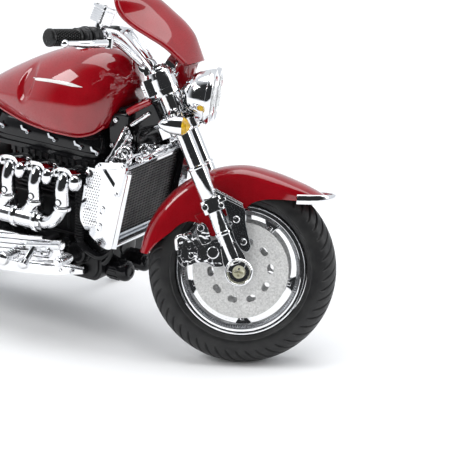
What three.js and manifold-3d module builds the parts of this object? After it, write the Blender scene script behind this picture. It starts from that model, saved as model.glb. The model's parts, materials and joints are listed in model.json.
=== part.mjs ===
// A 1:10 display model of a large three-cylinder cruiser motorcycle, in millimetres.
// +X points forward, +Y to the rider's left and +Z up. Everything is drawn on a straight-ahead
// motorcycle whose origin is on the ground midway between the axles. The steering group is then
// turned to the left, and the whole model is moved so that its origin is the bottom centre of its box.
import * as THREE from 'three';
import { mergeVertices } from 'three/addons/utils/BufferGeometryUtils.js';
import Module from 'manifold-3d';

const wasm = await Module();
wasm.setup();
const rad = THREE.MathUtils.degToRad;

// ---- driving dimensions -------------------------------------------------------------------
const GAP = 0.3;                  // running clearance between touching pieces
const WHEELBASE = 169.5;
const FRONT_AXLE_X = 85;
const REAR_AXLE_X = FRONT_AXLE_X - WHEELBASE;

const RAKE = rad(27.5);           // fork angle from the vertical
const FORK_OFFSET = 5.3;          // axle ahead of the steering axis
const STEER = rad(34);            // steering turned to the left at rest

const FRONT_TYRE = { radius: 33.6, half: 7.5, bead: 23.6 };
const REAR_TYRE = { radius: 32.3, half: 12, bead: 21.4 };
const FRONT_DROP = 0.6;           // how far a steered, leaning front wheel lowers the steering head
const FRONT_AXLE_Z = FRONT_TYRE.radius - FRONT_DROP;
const REAR_AXLE_Z = REAR_TYRE.radius;

const LEG_Y = 13;                 // fork legs, either side of the middle
const TUBE_R = 2.75;
const SLEEVE_R = 3.5;
const YOKE_LOW_S = 53;            // heights along the fork, measured from the axle
const YOKE_HIGH_S = 69.5;
const TUBE_END_S = 36;
const SLEEVE_TOP_S = 46;
const SLEEVE_LOW_S = 27;

const DISC_R = 17.5;
const DISC_Y = 8;
const FRONT_FENDER_R = 37;
const FENDER_HALF = 9.2;
const SHELL = 0.8;                // thickness of fenders
const SCREEN_SHELL = 1.2;

const ENGINE_HALF = 14;
const CYLINDER_X = [24, 11.4, -1.2];
const HEADER_R = 2.6;
const PIPE_Y = -24;               // header and collector line on the right side
const PIVOT_X = -36;              // swingarm pivot
const PIVOT_Z = 38;
const ARM_Y = 15;
const SHOCK_X = -72;
const SHOCK_Y = 19.4;

// ---- shape helpers ------------------------------------------------------------------------
const v3 = (x, y, z) => new THREE.Vector3(x, y, z);

// Signed volume of an indexed mesh: positive when its faces point out.
function volumeOf(positions, index) {
  let sum = 0;
  for (let i = 0; i < index.length; i += 3) {
    const [a, b, c] = [0, 1, 2].map((k) => v3().fromArray(positions, 3 * index[i + k]));
    sum += a.dot(b.cross(c));
  }
  return sum / 6;
}

// Any closed three.js geometry as a manifold-3d solid, with its faces turned outward.
function solid(geometry) {
  const bare = geometry.clone();
  bare.deleteAttribute('normal');
  bare.deleteAttribute('uv');
  const merged = mergeVertices(bare, 1e-4);
  const positions = merged.attributes.position.array;
  const source = merged.index.array;
  const index = [];
  for (let i = 0; i < source.length; i += 3) {
    const [a, b, c] = [source[i], source[i + 1], source[i + 2]];
    if (a !== b && b !== c && a !== c) index.push(a, b, c);
  }
  if (volumeOf(positions, index) < 0) index.reverse();
  return new wasm.Manifold(new wasm.Mesh({
    numProp: 3,
    vertProperties: new Float32Array(positions),
    triVerts: new Uint32Array(index),
  }));
}

function join(...geometries) {
  return geometries.map(solid).reduce((whole, next) => whole.add(next));
}

function cut(base, ...tools) {
  return tools.reduce((whole, tool) => whole.subtract(solid(tool)), base);
}

function geometryOf(manifold) {
  const mesh = manifold.getMesh();
  const geometry = new THREE.BufferGeometry();
  geometry.setAttribute('position', new THREE.BufferAttribute(mesh.vertProperties, 3));
  geometry.setIndex(new THREE.BufferAttribute(mesh.triVerts, 1));
  geometry.computeVertexNormals();
  return geometry;
}

function block(x0, x1, y0, y1, z0, z1) {
  const box = new THREE.BoxGeometry(x1 - x0, y1 - y0, z1 - z0);
  return box.translate((x0 + x1) / 2, (y0 + y1) / 2, (z0 + z1) / 2);
}

// A straight round bar between two points, tapered when the two radii differ.
function rod(from, to, r0, sides = 16, r1 = r0) {
  const along = to.clone().sub(from);
  const bar = new THREE.CylinderGeometry(r1, r0, along.length(), sides);
  bar.applyQuaternion(new THREE.Quaternion().setFromUnitVectors(v3(0, 1, 0), along.clone().normalize()));
  const middle = from.clone().addScaledVector(along, 0.5);
  return bar.translate(middle.x, middle.y, middle.z);
}

// A round bar swept along a smooth curve through the points.
function tube(points, r, steps, sides = 12) {
  const circle = new THREE.Shape().absarc(0, 0, r, 0, 2 * Math.PI);
  return new THREE.ExtrudeGeometry(circle, {
    steps,
    curveSegments: sides / 2,
    bevelEnabled: false,
    extrudePath: new THREE.CatmullRomCurve3(points, false, 'centripetal'),
  });
}

// A turned part about the Y axis from a closed outline of [radius, y] points.
function turned(outline, segments = 32) {
  const points = [...outline, outline[0]].map(([r, y]) => new THREE.Vector2(r, y));
  return new THREE.LatheGeometry(points, segments);
}

// A turned part about any line, from [radius, distance along the line] points.
function turnedAlong(outline, from, direction, segments = 24) {
  const part = turned(outline, segments);
  part.applyQuaternion(new THREE.Quaternion().setFromUnitVectors(v3(0, 1, 0), direction));
  return part.translate(from.x, from.y, from.z);
}

// A plate cut to an outline of [x, z] points, standing between y0 and y1.
function plate(outline, y0, y1) {
  const shape = new THREE.Shape(outline.map(([x, z]) => new THREE.Vector2(x, z)));
  const part = new THREE.ExtrudeGeometry(shape, { depth: y1 - y0, bevelEnabled: false });
  return part.rotateX(Math.PI / 2).translate(0, y1, 0);
}

// A closed skin through rings of points, with a flat fan over each end.
function loft(rings) {
  const sides = rings[0].length;
  const centres = [rings[0], rings.at(-1)].map((ring) => (
    ring.reduce((sum, p) => sum.add(p), v3()).divideScalar(sides)));
  const positions = [...rings.flat(), ...centres].flatMap((p) => p.toArray());
  const index = [];
  const last = (rings.length - 1) * sides;
  const hub = rings.length * sides;
  for (let k = 0; k < sides; k += 1) {
    const next = (k + 1) % sides;
    for (let ring = 0; ring < rings.length - 1; ring += 1) {
      const [a, b] = [ring * sides + k, ring * sides + next];
      index.push(a, b, b + sides, a, b + sides, a + sides);
    }
    index.push(hub, next, k, hub + 1, last + k, last + next);
  }
  const geometry = new THREE.BufferGeometry();
  geometry.setAttribute('position', new THREE.Float32BufferAttribute(positions, 3));
  geometry.setIndex(index);
  return geometry;
}

// The same piece on the right (-1) or left (+1) side.
const SIDES = { right: -1, left: 1 };

// ---- materials and nodes ------------------------------------------------------------------
const FINISH = {
  paint: { color: 0xb00d22, roughness: 0.15, metalness: 0.1 },
  chrome: { color: 0xd9dbdd, roughness: 0.08, metalness: 1 },
  black: { color: 0x17181a, roughness: 0.5, metalness: 0 },
  rubber: { color: 0x232427, roughness: 0.75, metalness: 0 },
  grey: { color: 0x9a9c9e, roughness: 0.45, metalness: 0.6 },
  leather: { color: 0x1c1c1e, roughness: 0.6, metalness: 0 },
  lens: { color: 0xe8eef2, roughness: 0.05, metalness: 0 },
  amber: { color: 0xe08a1a, roughness: 0.15, metalness: 0 },
  red_lens: { color: 0xa01015, roughness: 0.15, metalness: 0 },
};

const model = new THREE.Group();
const steering = new THREE.Group();
model.add(steering);

function add(parent, name, manifold, finish) {
  const mesh = new THREE.Mesh(geometryOf(manifold), new THREE.MeshStandardMaterial(FINISH[finish]));
  mesh.name = name;
  parent.add(mesh);
}

// ---- the fork's own directions ------------------------------------------------------------
const FRONT_AXLE = v3(FRONT_AXLE_X, 0, FRONT_AXLE_Z);
const REAR_AXLE = v3(REAR_AXLE_X, 0, REAR_AXLE_Z);
const UP_FORK = v3(-Math.sin(RAKE), 0, Math.cos(RAKE));
const AHEAD = v3(Math.cos(RAKE), 0, Math.sin(RAKE));
const STEER_FOOT = FRONT_AXLE.clone().addScaledVector(AHEAD, -FORK_OFFSET);

// A point s up the fork from the axle's height, f ahead of the steering axis, y to the left.
function forkPoint(s, f, y) {
  return STEER_FOOT.clone().addScaledVector(UP_FORK, s).addScaledVector(AHEAD, f).setY(y);
}

// A cylinder parallel to the fork, or one turned from [radius, s] points.
const forkRod = (s0, s1, f, y, r, sides) => rod(forkPoint(s0, f, y), forkPoint(s1, f, y), r, sides);
const forkTurned = (outline, f, y, segments) => (
  turnedAlong(outline, forkPoint(0, f, y), UP_FORK, segments));

// A slab lying square to the fork, its outline given as [f, y] points.
function forkPlate(outline, s0, s1) {
  const shape = new THREE.Shape(outline.map(([f, y]) => new THREE.Vector2(f, y)));
  const part = new THREE.ExtrudeGeometry(shape, { depth: s1 - s0, bevelEnabled: false });
  const base = new THREE.Matrix4().makeBasis(AHEAD, v3(0, 1, 0), UP_FORK);
  base.setPosition(forkPoint(s0, 0, 0));
  return part.applyMatrix4(base);
}

// ---- wheels -------------------------------------------------------------------------------
// A tyre's outline: a round crown, straight walls and two beads, open towards the rim.
function tyre({ radius, half, bead }, segments) {
  const outline = [];
  const crown = half > 10 ? 8 : half;
  const flat = half - crown;
  for (let k = 0; k <= 6; k += 1) {
    const angle = rad(-90 + 30 * k);
    const side = Math.sign(Math.round(Math.sin(angle) * 100));
    outline.push([radius - crown + crown * Math.cos(angle), flat * side + crown * Math.sin(angle)]);
  }
  outline.push([bead, half - 0.9], [bead + 2.2, half - 2], [bead + 2.2, 2 - half], [bead, 0.9 - half]);
  return solid(turned(outline, segments));
}

// A cast wheel: stepped rim, five blade spokes and a bored hub.
function rim({ bead, half }, hubHalf, segments) {
  const lip = bead - GAP;
  const seat = bead + 2.2 - GAP;
  const ring = solid(turned([
    [lip, -half + 0.6], [lip, -half + 2.3], [seat, -half + 2.3], [seat, half - 2.3],
    [lip, half - 2.3], [lip, half - 0.6], [lip - 2.2, half - 0.6], [lip - 3, half - 3.2],
    [lip - 3.6, 0], [lip - 3, 3.2 - half], [lip - 2.2, 0.6 - half],
  ], segments));
  const hub = solid(turned([
    [AXLE_BORE, -hubHalf], [5, -hubHalf], [5.6, 0], [5, hubHalf], [AXLE_BORE, hubHalf],
  ], 20));
  let wheel = ring.add(hub);
  for (let k = 0; k < 5; k += 1) {
    const spoke = plate([
      [4, -1.9], [11, -2.2], [lip - 3, -3.2], [lip - 3, 1.6], [11, 1.5], [4, 1.9],
    ], -2.6, 2.6);
    wheel = wheel.add(solid(spoke.rotateY(rad(72 * k - 60))));
  }
  return wheel;
}

// A brake disc with slots, on the outside face of a wheel.
function brakeDisc(side, inner) {
  const y0 = side * DISC_Y;
  const y1 = side * (DISC_Y + 0.7);
  let disc = solid(turned([[inner, y0], [DISC_R, y0], [DISC_R, y1], [inner, y1]], 32));
  for (let k = 0; k < 10; k += 1) {
    const slot = plate([[9.9, -1.5], [11.4, -1.5], [11.4, 1.5], [9.9, 1.5]], -DISC_Y - 2, DISC_Y + 2);
    disc = disc.subtract(solid(slot.rotateY(rad(36 * k))));
  }
  return disc;
}

const AXLE_R = 1.5;
const AXLE_BORE = AXLE_R + GAP;

function addFrontWheel() {
  const place = (manifold) => manifold.translate(FRONT_AXLE.toArray());
  add(steering, 'front_tyre', place(tyre(FRONT_TYRE, 40)), 'rubber');
  add(steering, 'front_rim', place(rim(FRONT_TYRE, 7.7, 28)), 'chrome');
  for (const [name, side] of Object.entries(SIDES)) {
    add(steering, `front_disc_${name}`, place(brakeDisc(side, 2.2)), 'grey');
  }
}

function addRearWheel() {
  const place = (manifold) => manifold.translate(REAR_AXLE.toArray());
  add(model, 'rear_tyre', place(tyre(REAR_TYRE, 40)), 'rubber');
  add(model, 'rear_rim', place(rim(REAR_TYRE, 10.5, 28)), 'chrome');
  const disc = turned([[2.2, -11.8], [14.5, -11.8], [14.5, -11], [2.2, -11]], 32);
  add(model, 'rear_disc', place(solid(disc)), 'grey');
}

// ---- front end ----------------------------------------------------------------------------
// A round bar lying across the wheel's axle line, between two distances to the left.
const axleRod = (y0, y1, r, sides = 16) => (
  rod(v3(FRONT_AXLE_X, y0, FRONT_AXLE_Z), v3(FRONT_AXLE_X, y1, FRONT_AXLE_Z), r, sides));

function addFork() {
  for (const [name, side] of Object.entries(SIDES)) {
    const y = side * LEG_Y;
    const stanchion = forkRod(TUBE_END_S, 73, FORK_OFFSET, y, TUBE_R, 14);
    add(steering, `fork_tube_${name}`, solid(stanchion), 'chrome');

    const sleeve = forkTurned([
      [0, 4], [2.9, 4], [2.9, SLEEVE_LOW_S - 1], [SLEEVE_R, SLEEVE_LOW_S], [SLEEVE_R, SLEEVE_TOP_S],
      [TUBE_R + GAP, SLEEVE_TOP_S], [TUBE_R + GAP, TUBE_END_S - 5], [0, TUBE_END_S - 5],
    ], FORK_OFFSET, y, 16);
    const lug = axleRod(y - 3.6, y + 3.6, 5, 24);
    const clamp = forkPlate([[1.4, y - 3.4], [9.4, y - 3.4], [9.4, y + 3.4], [1.4, y + 3.4]], 23.5, 27);
    const leg = cut(join(sleeve, lug, clamp), axleRod(y - 9, y + 9, AXLE_BORE));
    add(steering, `fork_leg_${name}`, leg, 'chrome');
  }
  const axle = join(
    axleRod(-19, 19, AXLE_R),
    axleRod(-19, -17, 3.6, 24),
    axleRod(17, 19, 3.6, 24),
  );
  add(steering, 'front_axle', axle, 'chrome');
}

// A yoke's outline: two round leg clamps and a bridge over the steering stem.
function yokeOutline(side) {
  const points = [];
  for (let k = 0; k <= 6; k += 1) {
    const angle = rad(180 - 30 * k);
    points.push([FORK_OFFSET + 4.4 * Math.cos(angle), side * (LEG_Y + 4.4 * Math.sin(angle))]);
  }
  return points;
}

function addYokes() {
  const rounded = [
    ...yokeOutline(1), [8, 5], [8, -5], ...yokeOutline(-1).reverse(), [-3.6, -4.5], [-3.6, 4.5],
  ];
  const tubeHoles = Object.values(SIDES).map((side) => (
    forkRod(40, 80, FORK_OFFSET, side * LEG_Y, TUBE_R + GAP, 14)));
  const stemHole = forkRod(YOKE_HIGH_S - 2, YOKE_HIGH_S + 3, 0, 0, 2.3, 16);
  const stem = forkRod(YOKE_LOW_S, YOKE_HIGH_S + 1, 0, 0, 2, 16);
  const lower = join(forkPlate(rounded, YOKE_LOW_S, YOKE_LOW_S + 4), stem);
  add(steering, 'lower_yoke', cut(lower, ...tubeHoles), 'chrome');

  const risers = Object.values(SIDES).map((side) => (
    forkRod(YOKE_HIGH_S, BAR_CLAMP_S - 2, 2.5, side * 6.5, 2.4, 12)));
  const upper = join(forkPlate(rounded, YOKE_HIGH_S, YOKE_HIGH_S + 4), ...risers);
  add(steering, 'upper_yoke', cut(upper, ...tubeHoles, stemHole), 'chrome');
}

const BAR_CLAMP_S = 77.5;
const BAR_R = 1.7;
// Handlebar bends on the right side; the left side mirrors them.
const BAR_BENDS = [v3(44.4, -7, 101.6), v3(40.8, -12, 104.9), v3(36.8, -17, 108.4), v3(33, -22, 110.5)];
const GRIP_START = v3(29.8, -27.2, 110.6);
const GRIP_END = v3(12, -47.5, 109);

function mirrored(point, side) {
  return v3(point.x, -side * point.y, point.z);
}

function addHandlebar() {
  const right = BAR_BENDS.map((p) => mirrored(p, -1));
  const left = BAR_BENDS.map((p) => mirrored(p, 1));
  const bends = [GRIP_START, ...right.reverse(), v3(45, 0, 100.6), ...left, mirrored(GRIP_START, 1)];
  add(steering, 'handlebar', solid(tube(bends, BAR_R, 24, 10)), 'chrome');

  for (const [name, side] of Object.entries(SIDES)) {
    const start = mirrored(GRIP_START, side);
    const end = mirrored(GRIP_END, side);
    const way = end.clone().sub(start).normalize();
    const from = start.clone().addScaledVector(way, GAP + 0.4);
    const grip = turnedAlong([
      [0, 0], [3.1, 0], [3.1, 6.4], [2.5, 6.8], [2.5, 9.6], [3, 10], [3, 22], [2.4, 23.4], [0, 23.4],
    ], from, way, 16);
    add(steering, `grip_${name}`, solid(grip), 'black');

    const forward = v3(-side * way.y, side * way.x, 0).normalize();
    const perch = start.clone().addScaledVector(forward, 5.2);
    const bend = perch.clone().addScaledVector(way, 9).add(forward);
    const tip = perch.clone().addScaledVector(way, 20);
    const knob = new THREE.SphereGeometry(1.4, 10, 6).translate(tip.x, tip.y, tip.z);
    const lever = join(tube([perch, bend, tip], 0.9, 8, 8), knob);
    add(steering, name === 'right' ? 'brake_lever' : 'clutch_lever', lever, 'chrome');
  }
  const cup = v3(27, -25.5, 114.4);
  const lid = v3(25.5, -25.5, 120);
  const stem = rod(v3(29.2, -26, 113.8), cup, 1.1, 10);
  add(steering, 'brake_reservoir', join(rod(cup, lid, 3.6, 16), stem), 'grey');
}

const LAMP_AIM = v3(Math.cos(rad(4)), 0, -Math.sin(rad(4)));

function addLamps() {
  for (const [name, side] of Object.entries(SIDES)) {
    const centre = v3(58.6, side * 10.4, 93.9);
    const bowl = turnedAlong([
      [0, 0], [3.2, 0.2], [6.2, 2], [8.4, 5], [9.4, 9], [9.8, 9.4], [9.8, 10.4], [8.9, 10.4],
      [8.9, 8.4], [0, 8.4],
    ], centre, LAMP_AIM, 24);
    add(steering, `headlight_${name}`, solid(bowl), 'chrome');
    const lens = turnedAlong([
      [0, 8.8], [8.5, 8.8], [8.5, 10.2], [5, 11.3], [0, 11.8],
    ], centre, LAMP_AIM, 24);
    add(steering, `headlight_lens_${name}`, solid(lens), 'lens');
    const signal = v3(53.5, side * 21.8, 82.5);
    const bullet = join(
      turnedAlong([[0, 0], [1.8, 0.4], [3, 2.4], [3.4, 6], [3.4, 9], [0, 9]], signal, v3(1, 0, 0), 16),
      rod(signal.clone().add(v3(4, 0, 0)), signal.clone().add(v3(4, -side * 3.6, 0)), 1.1, 10),
    );
    add(steering, `front_signal_${name}`, bullet, 'chrome');
  }
}

// The flyscreen is one curved shell. Its stations run from the chin to the top: the centre line's
// x and z, the half-width, and how far back and down the side edges lie from the centre line.
const SCREEN = [
  [64.6, 105.4, 12.6, 4.6, 1.6], [62.2, 110.6, 13.6, 10, 0.8], [60.1, 114.6, 14, 14, 1.6],
  [56.5, 118.4, 14.2, 16.5, 2.2], [51.9, 121.9, 13.8, 16.8, 1.8], [47.2, 125.3, 12.4, 14, 0.6],
  [41, 129, 9, 9, 0],
];

function addFlyscreen() {
  const rings = SCREEN.map(([x, z, half, back, down]) => {
    const section = (depth, width) => [-4, -3, -2, -1, 0, 1, 2, 3, 4].map((k) => {
      const t = k / 4;
      const bend = t * t;
      return v3(x - depth - bend * back, t * half * width, z - depth * 0.7 - bend * down);
    });
    return [...section(0, 1), ...section(SCREEN_SHELL, 0.94).reverse()];
  });
  add(steering, 'flyscreen', solid(loft(rings)), 'paint');
}

// A fender as a shell around a wheel. Each station is an angle with the radius of the crown,
// the radius of the side's lower edge and the half-width.
function fender(centre, stations) {
  const rings = stations.map(([degrees, crown, edge, half]) => {
    const angle = rad(degrees);
    const section = [
      [-half, edge], [-half, crown - 4.5], [-half * 0.82, crown - 1.6], [-half * 0.45, crown - 0.3],
    ];
    const outer = [...section, [0, crown], ...section.map(([y, r]) => [-y, r]).reverse()];
    const narrower = 1 - SHELL / half;
    const inner = outer.map(([y, r]) => [y * narrower, r === edge ? r : r - SHELL]).reverse();
    return [...outer, ...inner].map(([y, r]) => (
      v3(centre.x + r * Math.cos(angle), y, centre.z + r * Math.sin(angle))));
  });
  return solid(loft(rings));
}

function addFenders() {
  const front = fender(FRONT_AXLE, [
    [176, 37, 31.5, 9],
    [165, FRONT_FENDER_R, 30.5, FENDER_HALF],
    [152, FRONT_FENDER_R, 28.5, FENDER_HALF],
    [140, FRONT_FENDER_R, 25.5, FENDER_HALF],
    [130, FRONT_FENDER_R, 23, FENDER_HALF],
    [118, FRONT_FENDER_R, 21, FENDER_HALF],
    [106, FRONT_FENDER_R, 20.8, FENDER_HALF],
    [95, FRONT_FENDER_R, 22, FENDER_HALF],
    [84, 36.6, 24.5, FENDER_HALF],
    [72, 36.4, 28, 9],
    [60, 37.4, 31.8, 8.2],
    [50, 39, 35.6, 7],
    [45, 39.8, 37.2, 5.4],
    [43, 40, 38, 3.4],
  ]);
  add(steering, 'front_fender', front, 'paint');
  const band = new THREE.Shape(TRIM_BAND.map(([x, y]) => new THREE.Vector2(x, y)));
  const trim = new THREE.ExtrudeGeometry(band, { depth: 3.2, bevelEnabled: false });
  trim.rotateY(rad(-4)).translate(FRONT_AXLE.x, 0, FRONT_AXLE.z + 24.4);
  add(steering, 'fender_trim', solid(trim), 'chrome');
}

// The chrome blade round the front edge of the fender, seen from above as [x, y] from the axle.
const TRIM_BAND = [
  [17.8, 8.9], [23, 8], [27, 6], [29.2, 3], [29.8, 0], [29.2, -3], [27, -6], [23, -8], [17.8, -8.9],
  [17.8, -9.9], [23.5, -9], [27.8, -6.8], [30.4, -3.4], [31, 0], [30.4, 3.4], [27.8, 6.8], [23.5, 9],
  [17.8, 9.9],
];

function addCalipers() {
  for (const [name, side] of Object.entries(SIDES)) {
    const [y0, y1] = [side * (FRONT_TYRE.half + GAP), side * 12];
    const body = forkPlate([[-12, y0], [-2, y0], [-2, y1], [-12, y1]], 4, 20);
    const lug = forkPlate([[-3, side * 9.6], [2, side * 9.6], [2, y1], [-3, y1]], 9, 15);
    const slot = turned([[0, -1], [DISC_R + 0.6, -1], [DISC_R + 0.6, 1], [0, 1]], 32);
    slot.translate(FRONT_AXLE.x, side * (DISC_Y + 0.35), FRONT_AXLE.z);
    add(steering, `caliper_${name}`, cut(join(body, lug), slot), 'chrome');
  }
}

// ---- frame and engine ---------------------------------------------------------------------
function addFrame() {
  const head = forkRod(YOKE_LOW_S + 4 + GAP, YOKE_HIGH_S - GAP, 0, 0, 4.4, 20);
  const bore = forkRod(YOKE_LOW_S, YOKE_HIGH_S + 2, 0, 0, 2 + GAP, 16);
  const spine = plate([
    [46, 90], [49, 84], [36, 79.6], [-17.4, 79.6], [-20, 72], [-62, 70], [-62, 74.3], [-45, 74.3],
    [-37, 78.6], [-18.6, 78.9], [-18.6, 85.4], [36, 85.4],
  ], -4.4, 4.4);
  const drop = plate([
    [-26, 77], [-38, 77], [-41, 60], [-43, 44], [-41, 31], [-31, 31], [-29, 44], [-30, 60],
  ], -8, 8);
  const pin = rod(v3(PIVOT_X, -17.4, PIVOT_Z), v3(PIVOT_X, 17.4, PIVOT_Z), 1.8, 16);
  const rails = Object.values(SIDES).map((side) => (
    tube([v3(-36, side * 5, 72), v3(-52, side * 14, 70.5), v3(-76, side * 16, 71.5)], 1.7, 8, 8)));
  add(model, 'main_frame', cut(join(head, spine, drop, pin, ...rails), bore), 'black');
}

function addEngine() {
  const crankcase = plate([
    [30.5, 20.5], [33, 24], [33, 34], [29.5, 38], [29, 50], [-24, 50], [-27, 46], [-27, 26],
    [-22, 20.5], [24, 20.5],
  ], -ENGINE_HALF, ENGINE_HALF);
  const stator = rod(v3(12, ENGINE_HALF - 1, 37), v3(12, ENGINE_HALF + 4, 37), 10, 24);
  const clutch = rod(v3(-10, -ENGINE_HALF + 1, 33), v3(-10, -ENGINE_HALF - 3, 33), 8, 24);
  add(model, 'crankcase', join(crankcase, stator, clutch), 'black');

  const barrels = join(...CYLINDER_X.map((x) => block(x - 5.6, x + 5.6, -11, 11, 50.3, 66)));
  let cylinders = barrels.add(solid(block(-6.5, 29, -9.5, 9.5, 50.3, 66)));
  for (let k = 0; k < 4; k += 1) {
    cylinders = cylinders.add(solid(block(-8, 31, -12.6, 12.6, 53 + 3.2 * k, 54.4 + 3.2 * k)));
  }
  add(model, 'cylinder_block', cylinders, 'black');

  const cover = plate([
    [31, 66.4], [31.5, 73], [28, 78.6], [-14, 78.6], [-17, 73], [-16, 66.4],
  ], -14.5, 14.5);
  const tunnel = block(-30, 40, -5, 5, 78, 80);
  add(model, 'cam_cover', cut(solid(cover), tunnel), 'black');

  const filter = rod(v3(34.4, -5, 24.5), v3(42.4, -5, 24.5), 3.7, 20);
  add(model, 'oil_filter', solid(filter), 'black');
}

// ---- exhaust ------------------------------------------------------------------------------
const COLLECTOR_R = 3.6;
const COLLECTOR_Z = 43.6;
const COLLECTOR_X = 14;

function addExhaust() {
  const names = ['front', 'middle', 'rear'];
  CYLINDER_X.forEach((x, i) => {
    const top = [v3(x, -14.9, 60), v3(x, -19, 61.8), v3(x, -23, 60), v3(x, PIPE_Y, 55)];
    const bottom = i === 0 ? [
      v3(x - 1.3, PIPE_Y, 49),
      v3(x - 4, PIPE_Y, 45),
      v3(COLLECTOR_X + 3, PIPE_Y, COLLECTOR_Z),
      v3(COLLECTOR_X + GAP, PIPE_Y, COLLECTOR_Z),
    ] : [v3(x - 1.2, PIPE_Y, 51), v3(x - 4, PIPE_Y, COLLECTOR_Z + COLLECTOR_R)];
    const pipe = tube([...top, ...bottom], HEADER_R, 12, 10);
    const under = block(x - 14, x + 8, PIPE_Y - 6, PIPE_Y + 6, 40, COLLECTOR_Z + COLLECTOR_R + GAP);
    add(model, `header_pipe_${names[i]}`, i === 0 ? solid(pipe) : cut(solid(pipe), under), 'chrome');
  });

  const collector = join(
    rod(v3(COLLECTOR_X, PIPE_Y, COLLECTOR_Z), v3(-30, PIPE_Y, COLLECTOR_Z), COLLECTOR_R, 16),
    tube([
      v3(-30, PIPE_Y, COLLECTOR_Z), v3(-37, PIPE_Y - 1, 42.6), v3(-44, -28.4, 38), v3(-52, -29.2, 35),
    ], COLLECTOR_R, 8, 12),
    tube([
      v3(-24, PIPE_Y, COLLECTOR_Z), v3(-30, PIPE_Y + 1.5, 36), v3(-34, -19, 24), v3(-36, -9, 15.5),
    ], 3.2, 8, 10),
    block(-46, -24, -9.5, 9.5, 11.5, 19.6),
    tube([
      v3(-41, 8, 15.5), v3(-44, 20, 18), v3(-46, 28, 25), v3(-51, 29.2, 33), v3(-56, 29.2, 35),
    ], 3.2, 10, 10),
  );
  add(model, 'exhaust_collector', collector, 'chrome');

  for (const [name, side] of Object.entries(SIDES)) {
    const start = v3(side > 0 ? -58 : -54, side * 29.2, 35);
    const can = turnedAlong([
      [0, 0], [4, 0], [6.2, 5], [6.2, 62], [5.4, 64], [4.4, 64], [4.4, 40], [0, 40],
    ], start, v3(-1, 0, 0), 24);
    add(model, `silencer_${name}`, solid(can), 'chrome');
  }
}

// ---- radiator -----------------------------------------------------------------------------
const RADIATOR_LEAN = rad(14.4);

function addRadiator() {
  const lean = (geometry) => geometry.rotateY(RADIATOR_LEAN).translate(38.6, 0, 53);
  const core = lean(block(-3, 3.8, -17, 17, -13.6, 15.5));
  add(model, 'radiator_core', solid(core), 'black');

  const cover = [[31, 66], [49.6, 68.4], [50, 66], [42.4, 37.2], [38, 37.2], [29, 43.5], [27.5, 55]];
  const shroud = join(
    plate(cover, -19.6, -17.4),
    plate(cover, 17.4, 19.6),
    plate([[36, 37.2], [42.4, 37.2], [42.6, 38.6], [36.2, 38.6]], -18, 18),
  );
  add(model, 'radiator_shroud', shroud, 'chrome');
}

// ---- tank, seats and tail -----------------------------------------------------------------
// The tank's stations from the tail to the nose: half-width, top and lower edge.
const TANK_X = [-28, -22, -12, 0, 10, 20, 28, 34, 37.4];
const TANK_HALF = [6.5, 10.5, 14.8, 18.2, 19.8, 19.8, 17.8, 13, 6.4];
const TANK_TOP = [84, 88, 93.6, 99.4, 103, 105, 104.8, 102.5, 98];
const TANK_LOW = [80.4, 80, 79, 77.4, 76.6, 76.2, 76.4, 80, 89];
const TUNNEL_HALF = 4.9;
const TUNNEL_TOP = 86;
const TUNNEL_END = -19;

function addTank() {
  const rings = TANK_X.map((x, i) => {
    const [half, top, low] = [TANK_HALF[i], TANK_TOP[i], TANK_LOW[i]];
    const points = [];
    for (let k = 0; k <= 12; k += 1) {
      const angle = rad(-24 + 19 * k);
      const lift = (Math.sin(angle) + 0.41) / 1.41;
      points.push(v3(x, half * Math.cos(angle), low + (top - low) * lift));
    }
    return points;
  });
  const tunnel = block(TUNNEL_END, 60, -TUNNEL_HALF, TUNNEL_HALF, 60, TUNNEL_TOP);
  const underside = block(-40, 60, -ENGINE_HALF - 1.2, ENGINE_HALF + 1.2, 60, 79.3);
  add(model, 'fuel_tank', cut(solid(loft(rings)), tunnel, underside), 'paint');
  const cap = rod(v3(17, 0, 104.9 + GAP + 0.2), v3(17, 0, 107.3), 3.6, 24);
  add(model, 'filler_cap', solid(cap), 'chrome');
}

// A seat pad from [x, half-width, top, bottom] stations.
function pad(stations) {
  return solid(loft(stations.map(([x, half, top, low]) => {
    const profile = [[1, 0.1], [1, 0.55], [0.86, 0.85], [0.5, 0.98], [0, 1]];
    const left = profile.map(([w, h]) => v3(x, half * w, low + (top - low) * h));
    const right = left.slice(0, -1).map((point) => v3(x, -point.y, point.z)).reverse();
    return [v3(x, half * 0.8, low), ...left, ...right, v3(x, -half * 0.8, low)];
  })));
}

function addSeats() {
  add(model, 'rider_seat', pad([
    [-29.5, 7, 84.5, 80.2], [-36, 11, 82.5, 79.4], [-44, 15, 80, 75.5], [-54, 18, 78.6, 74.9],
    [-62, 19, 80.5, 74.9], [-68, 17, 86, 74.9], [-70.5, 14, 88, 76],
  ]), 'leather');
  add(model, 'pillion_seat', pad([
    [-71.4, 11, 85, 75.2], [-78, 12, 86.4, 74.9], [-90, 12, 85.4, 74.9], [-100, 10.5, 83.4, 74.9],
    [-106, 7, 80.4, 75.2],
  ]), 'leather');
}

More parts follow.
